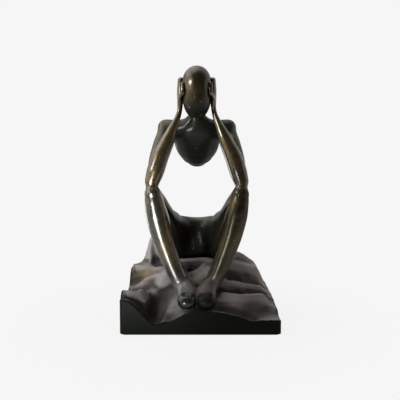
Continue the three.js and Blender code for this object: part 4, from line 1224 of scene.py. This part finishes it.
class Shader(Nodes):
    """A material with its node tree."""

    # The mix node's sockets for colours, which share their names with others
    MIX_A = 6
    MIX_B = 7
    MIX_RESULT = 2

    def __init__(self, name):
        self.material = bpy.data.materials.new(name)
        self.material.use_nodes = True
        super().__init__(self.material.node_tree)
        self.surface = self.tree.nodes["Principled BSDF"]
        self.place = self.add("ShaderNodeTexCoord").outputs["Object"]

    def set(self, **values):
        self.feed(self.surface, {key.replace("_", " "): value for key, value in values.items()})

    def noise(self, scale, detail=4.0, roughness=0.55, stretch=None):
        place = self.place
        if stretch:
            mapping = self.add("ShaderNodeMapping", {"Vector": place, "Scale": stretch})
            place = mapping.outputs["Vector"]
        inputs = {"Vector": place, "Scale": scale, "Detail": detail, "Roughness": roughness}
        return self.add("ShaderNodeTexNoise", inputs).outputs["Fac"]

    def specks(self, scale, size, share):
        """Spots in a share of the cells of a random pattern."""
        cells = self.add("ShaderNodeTexVoronoi", {"Vector": self.place, "Scale": scale}).outputs
        near = self.span(cells["Distance"], size, SPECK_CORE * size)
        pick = self.add("ShaderNodeSeparateColor", {"Color": cells["Color"]}).outputs["Red"]
        return self.times(near, self.span(pick, 1 - share, 1 - share + SPECK_EDGE))

    def mix(self, share, a, b):
        """A blend of two colours, each from a node or as screen values."""
        a, b = (srgb(*colour) if isinstance(colour, tuple) else colour for colour in (a, b))
        inputs = {"Factor": share, self.MIX_A: a, self.MIX_B: b}
        return self.add("ShaderNodeMix", inputs, data_type="RGBA").outputs[self.MIX_RESULT]

    def layered(self, colour, layers):
        """A colour under others, each with its share."""
        for share, over in layers:
            colour = self.mix(share, colour, over)
        return colour

    def up(self):
        return self.part(self.add("ShaderNodeNewGeometry").outputs["Normal"], "Z")

    def attribute(self, name):
        return self.add("ShaderNodeAttribute", attribute_name=name).outputs["Fac"]

    def cut_side(self):
        """1 on the base's upright sides, with an uneven border along the rim."""
        edges = []
        for axis, half in (("X", BASE_HALF_X), ("Y", BASE_HALF_Y)):
            away = self.math("ABSOLUTE", self.part(self.place, axis))
            edges.append(self.math("SUBTRACT", away, half * MM))
        ragged = self.span(self.noise(scale=150), 0.3, 0.7, -SIDE_RAGGED, SIDE_RAGGED)
        return self.span(self.plus(self.math("MAXIMUM", *edges), ragged), *SIDE_BORDER)

    def bump(self, height, strength, distance):
        inputs = {"Height": height, "Strength": strength, "Distance": distance}
        self.set(Normal=self.add("ShaderNodeBump", inputs).outputs["Normal"])


def figure_bronze():
    shader = Shader("figure_bronze")
    cloud = shader.noise(scale=24)
    grain = shader.noise(scale=420, detail=3)
    scuffs = shader.noise(scale=75, detail=8, roughness=0.65)
    worn = shader.times(shader.attribute("worn"), shader.span(scuffs, 0.4, 0.6, 0.1, 0.42))
    worn = shader.math("MAXIMUM", shader.span(scuffs, 0.52, 0.75, 0.0, 0.36), worn)
    specks = shader.specks(scale=260, size=0.13, share=0.2)
    dust_and_top_light = shader.times(shader.attribute("dust_and_top_light"), shader.span(grain, 0.3, 0.6, 0.55, 0.85))
    painted_shade = shader.attribute("painted_shade")
    colour = shader.mix(shader.span(cloud, 0.35, 0.66), BRONZE_GREEN, BRONZE_BROWN)
    colour = shader.layered(colour, [
        (worn, BRONZE_WORN),
        # dust with painted top light, paler where the casting faces up
        (dust_and_top_light, BRONZE_DUST_AND_TOP_LIGHT),
        # painted shade between chest and lap, low on the face and on the toes
        (shader.times(painted_shade, 0.92), BRONZE_PAINTED_SHADE),
        (shader.times(specks, 0.8), BRONZE_SPECK),
    ])
    roughness = shader.span(cloud, 0.3, 0.7, 0.3, 0.38)
    roughness = shader.plus(roughness, shader.times(dust_and_top_light, 0.2))
    roughness = shader.plus(roughness, shader.times(painted_shade, 0.15))
    metal = shader.times(shader.span(dust_and_top_light, 0, 0.6, 0.85, 0.4), shader.span(painted_shade, 0, 1, 1.0, 0.4))
    shader.set(Base_Color=colour, Roughness=roughness, Metallic=metal)
    shader.set(Coat_Weight=shader.attribute("polish"), Coat_Roughness=0.17, Coat_IOR=1.6)
    shader.set(Specular_IOR_Level=0.3, Specular_Tint=EDGE_TINT)
    shader.bump(shader.plus(grain, shader.times(cloud, 2.0)), strength=0.05, distance=0.0003)
    return shader.material


def rock_bronze():
    shader = Shader("rock_bronze")
    cloud = shader.noise(scale=30, detail=6, roughness=0.6)
    shade = shader.span(cloud, 0.3, 0.7)
    patches = shader.span(shader.noise(scale=60, detail=6, roughness=0.65), 0.35, 0.62)
    gold = shader.times(shader.attribute("gilded"), patches)
    pale = shader.times(shader.attribute("pale"), shader.span(cloud, 0.3, 0.7, 0.4, 0.9))
    cavity = shader.attribute("cavity")
    specks = shader.specks(scale=190, size=0.1, share=0.07)
    side = shader.cut_side()
    # Painted top light: what faces up takes the paler flat colour, steep faces the darker one; browned
    # places stay dark.
    clear = shader.span(shader.attribute("browned"), 0.1, 0.8, 1.0, 0.1)
    level = shader.times(shader.span(shader.up(), 0.62, 0.97), clear)
    colour = shader.mix(level, shader.mix(shade, *ROCK_STEEP_SHADED), shader.mix(shade, *ROCK_FLAT_LIT))
    colour = shader.layered(colour, [
        (pale, ROCK_PALE),
        (shader.times(gold, 0.7), ROCK_GOLD),
        # painted shade in the hollows and a painted highlight on the ridges
        (shader.span(cavity, 0.3, 2.8, 0.0, 0.88), ROCK_HOLLOW_SHADE),
        (shader.span(cavity, -0.4, -2.4, 0.0, 0.55), ROCK_RIDGE_HIGHLIGHT),
        (shader.times(specks, 0.7), ROCK_SPECK),
        (side, ROCK_SIDE),
    ])
    shader.set(Base_Color=colour, Roughness=shader.span(side, 0, 1, 0.5, 0.46))
    shader.set(Metallic=0.1, Specular_IOR_Level=shader.span(side, 0, 1, 0.15, 0.05))
    shader.bump(shader.noise(scale=260, detail=5), strength=0.15, distance=0.0004)
    return shader.material


def plain_metal(name, colour, tarnished, roughness):
    """Turned or plated metal: fine streaks and a little tarnish."""
    shader = Shader(name)
    streaks = shader.noise(scale=900, detail=3, roughness=0.5, stretch=TURNED_STRETCH)
    tarnish = shader.span(shader.noise(scale=160), 0.45, 0.7)
    shader.set(Base_Color=shader.mix(tarnish, colour, tarnished), Metallic=1.0)
    shader.set(Roughness=shader.span(streaks, 0.3, 0.7, roughness, roughness + 0.15))
    shader.bump(streaks, strength=0.1, distance=0.0001)
    return shader.material


def board():
    shader = Shader("plate_board")
    fibres = shader.noise(scale=220, detail=6, roughness=0.65, stretch=BOARD_STRETCH)
    shader.set(Base_Color=shader.mix(shader.span(fibres, 0.3, 0.7), *BOARD), Roughness=0.8)
    shader.bump(fibres, strength=0.3, distance=0.0003)
    return shader.material


def felt():
    shader = Shader("felt")
    fibres = shader.noise(scale=1400, detail=6, roughness=0.7)
    lint = shader.span(shader.noise(scale=120, detail=3), 0.6, 0.8, 0, 0.3)
    colour = shader.mix(shader.span(fibres, 0.35, 0.65), *FELT)
    shader.set(Base_Color=shader.mix(lint, colour, FELT_LINT), Roughness=0.95, Sheen_Weight=0.4)
    shader.bump(fibres, strength=0.6, distance=0.0005)
    return shader.material


# Dressing the nodes

def flatten_sides(rock):
    """The base's upright sides are cut flat, so they don't share the rim's rounding."""
    upright = abs(read(rock.data.polygons, "normal", 3)[:, 2]) < UPRIGHT
    rock.data.polygons.foreach_set("use_smooth", ~upright)


def dress(obj, material):
    obj.data.materials.clear()
    obj.data.materials.append(material)


def finish_piece(obj, node, material):
    dress(obj, material)
    obj.data.shade_smooth()
    obj.data.set_sharp_from_angle(angle=math.radians(SHARP_ANGLE))
    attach(obj, "root")
    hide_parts(node)


def rock_object():
    rock = terrain_block("rock_casting", 0)
    slab = base_slab()
    boolean(rock, slab, "INTERSECT")
    discard(slab)
    return rock


def hollow_rock(rock):
    """Takes the CAD node's own hollow and holes out of the fine rock."""
    cast = copy_of(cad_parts["rock_base"], "cast")
    with edited(cast.data) as bm:
        bmesh.ops.remove_doubles(bm, verts=bm.verts[:], dist=WELD * MM)
    hollow = terrain_block("hollow", ROOF_MARGIN)
    boolean(hollow, cast, "DIFFERENCE")
    boolean(rock, hollow, "DIFFERENCE")
    discard(cast, hollow)


def put_mark(obj, name, values):
    mark = obj.data.attributes.new(name, "FLOAT", "POINT")
    mark.data.foreach_set("value", values.astype(np.float32))


def relief_height(x, y):
    return rock_height(x, y) + sum(fold_height(x, y, fold) for fold in FOLDS + CREASES)


def grid_value(grid, column, row):
    """A grid's value at places between its columns and rows."""
    column = np.clip(column, 0, grid.shape[1] - 1 - GRID_END)
    row = np.clip(row, 0, grid.shape[0] - 1 - GRID_END)
    left = column.astype(int)
    low = row.astype(int)
    across = column - left
    along = row - low
    lower = grid[low, left] * (1 - across) + grid[low, left + 1] * across
    upper = grid[low + 1, left] * (1 - across) + grid[low + 1, left + 1] * across
    return lower * (1 - along) + upper * along


def mark_cavities(rock):
    """How far each point of the rock lies below its surroundings, for the painted shade in hollows and
    the painted highlight on ridges.
    """
    xs = np.arange(-BASE_HALF_X, BASE_HALF_X + CAVITY_CELL, CAVITY_CELL)
    ys = np.arange(-BASE_HALF_Y, BASE_HALF_Y + CAVITY_CELL, CAVITY_CELL)
    x, y = np.meshgrid(xs, ys)
    around = []
    for reach in CAVITY_REACHES:
        for angle in np.arange(CAVITY_DIRECTIONS) * 2 * math.pi / CAVITY_DIRECTIONS:
            near_x = np.clip(x + reach * math.cos(angle), -BASE_HALF_X, BASE_HALF_X)
            near_y = np.clip(y + reach * math.sin(angle), -BASE_HALF_Y, BASE_HALF_Y)
            around.append(relief_height(near_x, near_y))
    depth = np.mean(around, axis=0) - relief_height(x, y)
    x, y, _ = read_points(rock.data).T
    value = grid_value(depth, (x - xs[0]) / CAVITY_CELL, (y - ys[0]) / CAVITY_CELL)
    inside = smoothstep(inside_edge(x, y), *RIM_FADE)
    put_mark(rock, "cavity", np.where(value < 0, value * inside, value))


def mark_places(rock, name, places):
    x, y, _ = read_points(rock.data).T
    total = np.zeros(len(x))
    for place_x, place_y, reach in places:
        total += np.exp(-((x - place_x) ** 2 + (y - place_y) ** 2) / reach**2)
    put_mark(rock, name, np.minimum(total, 1))


def painted_shade_at(node, x, y, z):
    """Painted shade, dark and matt: low on the face, on the toes, and between chest and lap."""
    if node == "head":
        below = HEAD_CENTRE[2] - z
        return sum(share * smoothstep(below, low, high) for share, low, high in FACE_SHADE)
    if "lower_leg" in node:
        return smoothstep(HEEL_Y - y, *TOES_AHEAD) * (1 - smoothstep(z - SOLE, *TOES_ABOVE))
    front = smoothstep(y, *HOLLOW_FRONT) * (1 - smoothstep(y, *HOLLOW_BACK))
    middle = 1 - smoothstep(abs(x - FIGURE_X), *HOLLOW_SIDE)
    painted_shade = front * middle * (1 - smoothstep(z, *HOLLOW_TOP))
    return painted_shade * LAP_SHADE if node == "hips_and_thighs" else painted_shade


# Dust and painted top light: paler where a casting faces up, and low on the feet but for the toes.
def dust_and_top_light_at(node, rise, painted_shade, z):
    if "lower_leg" in node:
        return FOOT_DUST_AND_TOP_LIGHT[node] * (1 - smoothstep(z - SOLE, *FOOT_DUST_AND_TOP_LIGHT_ABOVE)) * (1 - painted_shade)
    return smoothstep(rise, *DUST_AND_TOP_LIGHT_RISE) * (1 - painted_shade) * DUST_AND_TOP_LIGHT.get(node, DUST_AND_TOP_LIGHT_ELSEWHERE)


def rubbed(node, x, z):
    """Where hands have worn the patina: the face, the inner sides of the shins and the forearms."""
    out = abs(x - FIGURE_X)
    if node == "head":
        drop, reach_z, reach_x = FACE_WEAR
        return np.exp(-(((HEAD_CENTRE[2] - z - drop) / reach_z) ** 2) - (out / reach_x) ** 2)
    if "lower_leg" in node:
        inner = 1 - smoothstep(out - SHIN_INSIDE, 0, SHIN_FADE)
        return smoothstep(z, *SHIN_WEAR_HEIGHT) * inner * SHIN_WEAR[node]
    return np.full(len(x), FOREARM_WEAR if "forearm" in node else 0)


def mark_patina_and_painted_light(casting, node, rise):
    x, y, z = read_points(casting.data).T
    painted_shade = painted_shade_at(node, x, y, z)
    dust_and_top_light = dust_and_top_light_at(node, rise, painted_shade, z)
    polish = next(value for key, value in POLISH.items() if key in node)
    polish = polish * (1 - DULL.get(node, DULL_ELSEWHERE) * painted_shade) * (1 - DUST_AND_TOP_LIGHT_DULL * dust_and_top_light)
    if node == "right_lower_leg":
        polish = np.maximum(polish, TOE_POLISH * painted_shade)
    marks = {"painted_shade": painted_shade, "dust_and_top_light": dust_and_top_light, "worn": rubbed(node, x, z), "polish": polish}
    for name, values in marks.items():
        put_mark(casting, name, values)


def build_object():
    bronze = figure_bronze()
    stone = rock_bronze()
    rock = rock_object()
    skin = figure_skin()
    whole = SkinNormals(skin.data)
    boolean(skin, rock, "DIFFERENCE")
    room = head_object("room", HEAD_ROOM)
    boolean(skin, room, "DIFFERENCE")
    discard(room)
    castings = part_skin(skin)
    castings["head"] = head_object("head_casting", 0)
    for node, casting in castings.items():
        if node == "head":
            near = [vertex.normal for vertex in casting.data.vertices]
        else:
            near = whole.near(casting.data)
        mark_patina_and_painted_light(casting, node, np.array([normal[2] for normal in near]))
        finish_piece(casting, node, bronze)
        if node != "head":
            keep_normals(casting.data, near)
    hollow_rock(rock)
    mark_cavities(rock)
    for name, places in ROCK_PLACES.items():
        mark_places(rock, name, places)
    finish_piece(rock, "rock_base", stone)
    flatten_sides(rock)


def dress_carried_nodes():
    brass = plain_metal("dowel_brass", *BRASS)
    steel = plain_metal("fastener_steel", *STEEL)
    kinds = {
        "dowel": brass, "pin": brass, "stud": steel, "washer": steel, "nut": steel, "screw": steel,
        "base_plate": board(), "base_felt": felt(),
    }
    for name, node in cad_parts.items():
        for kind, material in kinds.items():
            if kind in name:
                dress(node, material)


# Stage, lights and camera

def make_floor():
    """A floor, white under and behind the figure and dim before it, with a soft shadow.
    But for that shadow, the camera and reflections see it at a level of its own."""
    half = FLOOR_HALF
    corners = [(-half, -half, 0), (half, -half, 0), (half, half, 0), (-half, half, 0)]
    floor = new_object("floor", corners, [(0, 1, 2, 3)])
    white = srgb(*BACKGROUND)
    shader = Shader("floor")
    shader.set(Base_Color=white, Roughness=FLOOR_ROUGHNESS, Specular_IOR_Level=FLOOR_SPECULAR)
    level = shader.span(shader.part(shader.place, "Y"), *FLOOR_FADE, ROOM_DIM, white[0])
    glow = shader.add("ShaderNodeEmission", {"Color": level}).outputs["Emission"]
    away = shader.add("ShaderNodeVectorMath", {0: shader.place}, operation="LENGTH").outputs["Value"]
    near = shader.span(away, *SHADOW_FADE, SHADOW_SHARE, 1.0)
    share = shader.times(shader.seen_directly(), near)
    shaders = {"Fac": share, 1: shader.surface.outputs["BSDF"], 2: glow}
    mix = shader.add("ShaderNodeMixShader", shaders)
    shader.feed(shader.tree.nodes["Material Output"], {"Surface": mix.outputs["Shader"]})
    floor.data.materials.append(shader.material)


def make_world():
    """A white backdrop behind and above the figure, and a dimmer room before it."""
    world = bpy.data.worlds.new("studio")
    bpy.context.scene.world = world
    world.use_nodes = True
    nodes = Nodes(world.node_tree)
    sides = {0: nodes.add("ShaderNodeTexCoord").outputs["Generated"], 1: (0, 1, SKY_LEAN)}
    lean = nodes.add("ShaderNodeVectorMath", sides, operation="DOT_PRODUCT").outputs["Value"]
    backdrop = nodes.span(lean, *SKY_FADE, ROOM_DIM, srgb(*BACKGROUND)[0])
    levels = {"Factor": nodes.seen_directly(), "A": ROOM_LIGHT, "B": backdrop}
    level = nodes.add("ShaderNodeMix", levels, data_type="FLOAT").outputs["Result"]
    nodes.feed(nodes.tree.nodes["Background"], {"Color": level})


def softbox(name, place, target, size, power, colour, spread):
    """An area lamp that faces a target, with a grid that keeps its light within the spread."""
    data = bpy.data.lights.new(name, "AREA")
    data.shape = "RECTANGLE"
    data.size, data.size_y = size
    data.energy = power
    data.color = colour
    data.spread = math.radians(spread)
    lamp = link(name, data)
    lamp.location = place
    lamp.rotation_mode = "QUATERNION"
    lamp.rotation_quaternion = (Vector(target) - Vector(place)).to_track_quat("-Z", "Y")
    lamp.visible_camera = False


def make_camera():
    data = bpy.data.cameras.new("camera")
    data.sensor_width = CAMERA_SENSOR
    data.lens = CAMERA_LENS
    data.clip_start = CAMERA_CLIP * MM
    camera = link("camera", data)
    camera.location = Vector(CAMERA_PLACE) * MM
    camera.rotation_euler = (math.radians(90 - CAMERA_PITCH), 0, 0)
    bpy.context.scene.camera = camera


bpy.context.scene.view_settings.view_transform = "Standard"
make_camera()
make_world()
make_floor()
for lamp_values in LAMPS:
    softbox(*lamp_values)
build_object()
dress_carried_nodes()
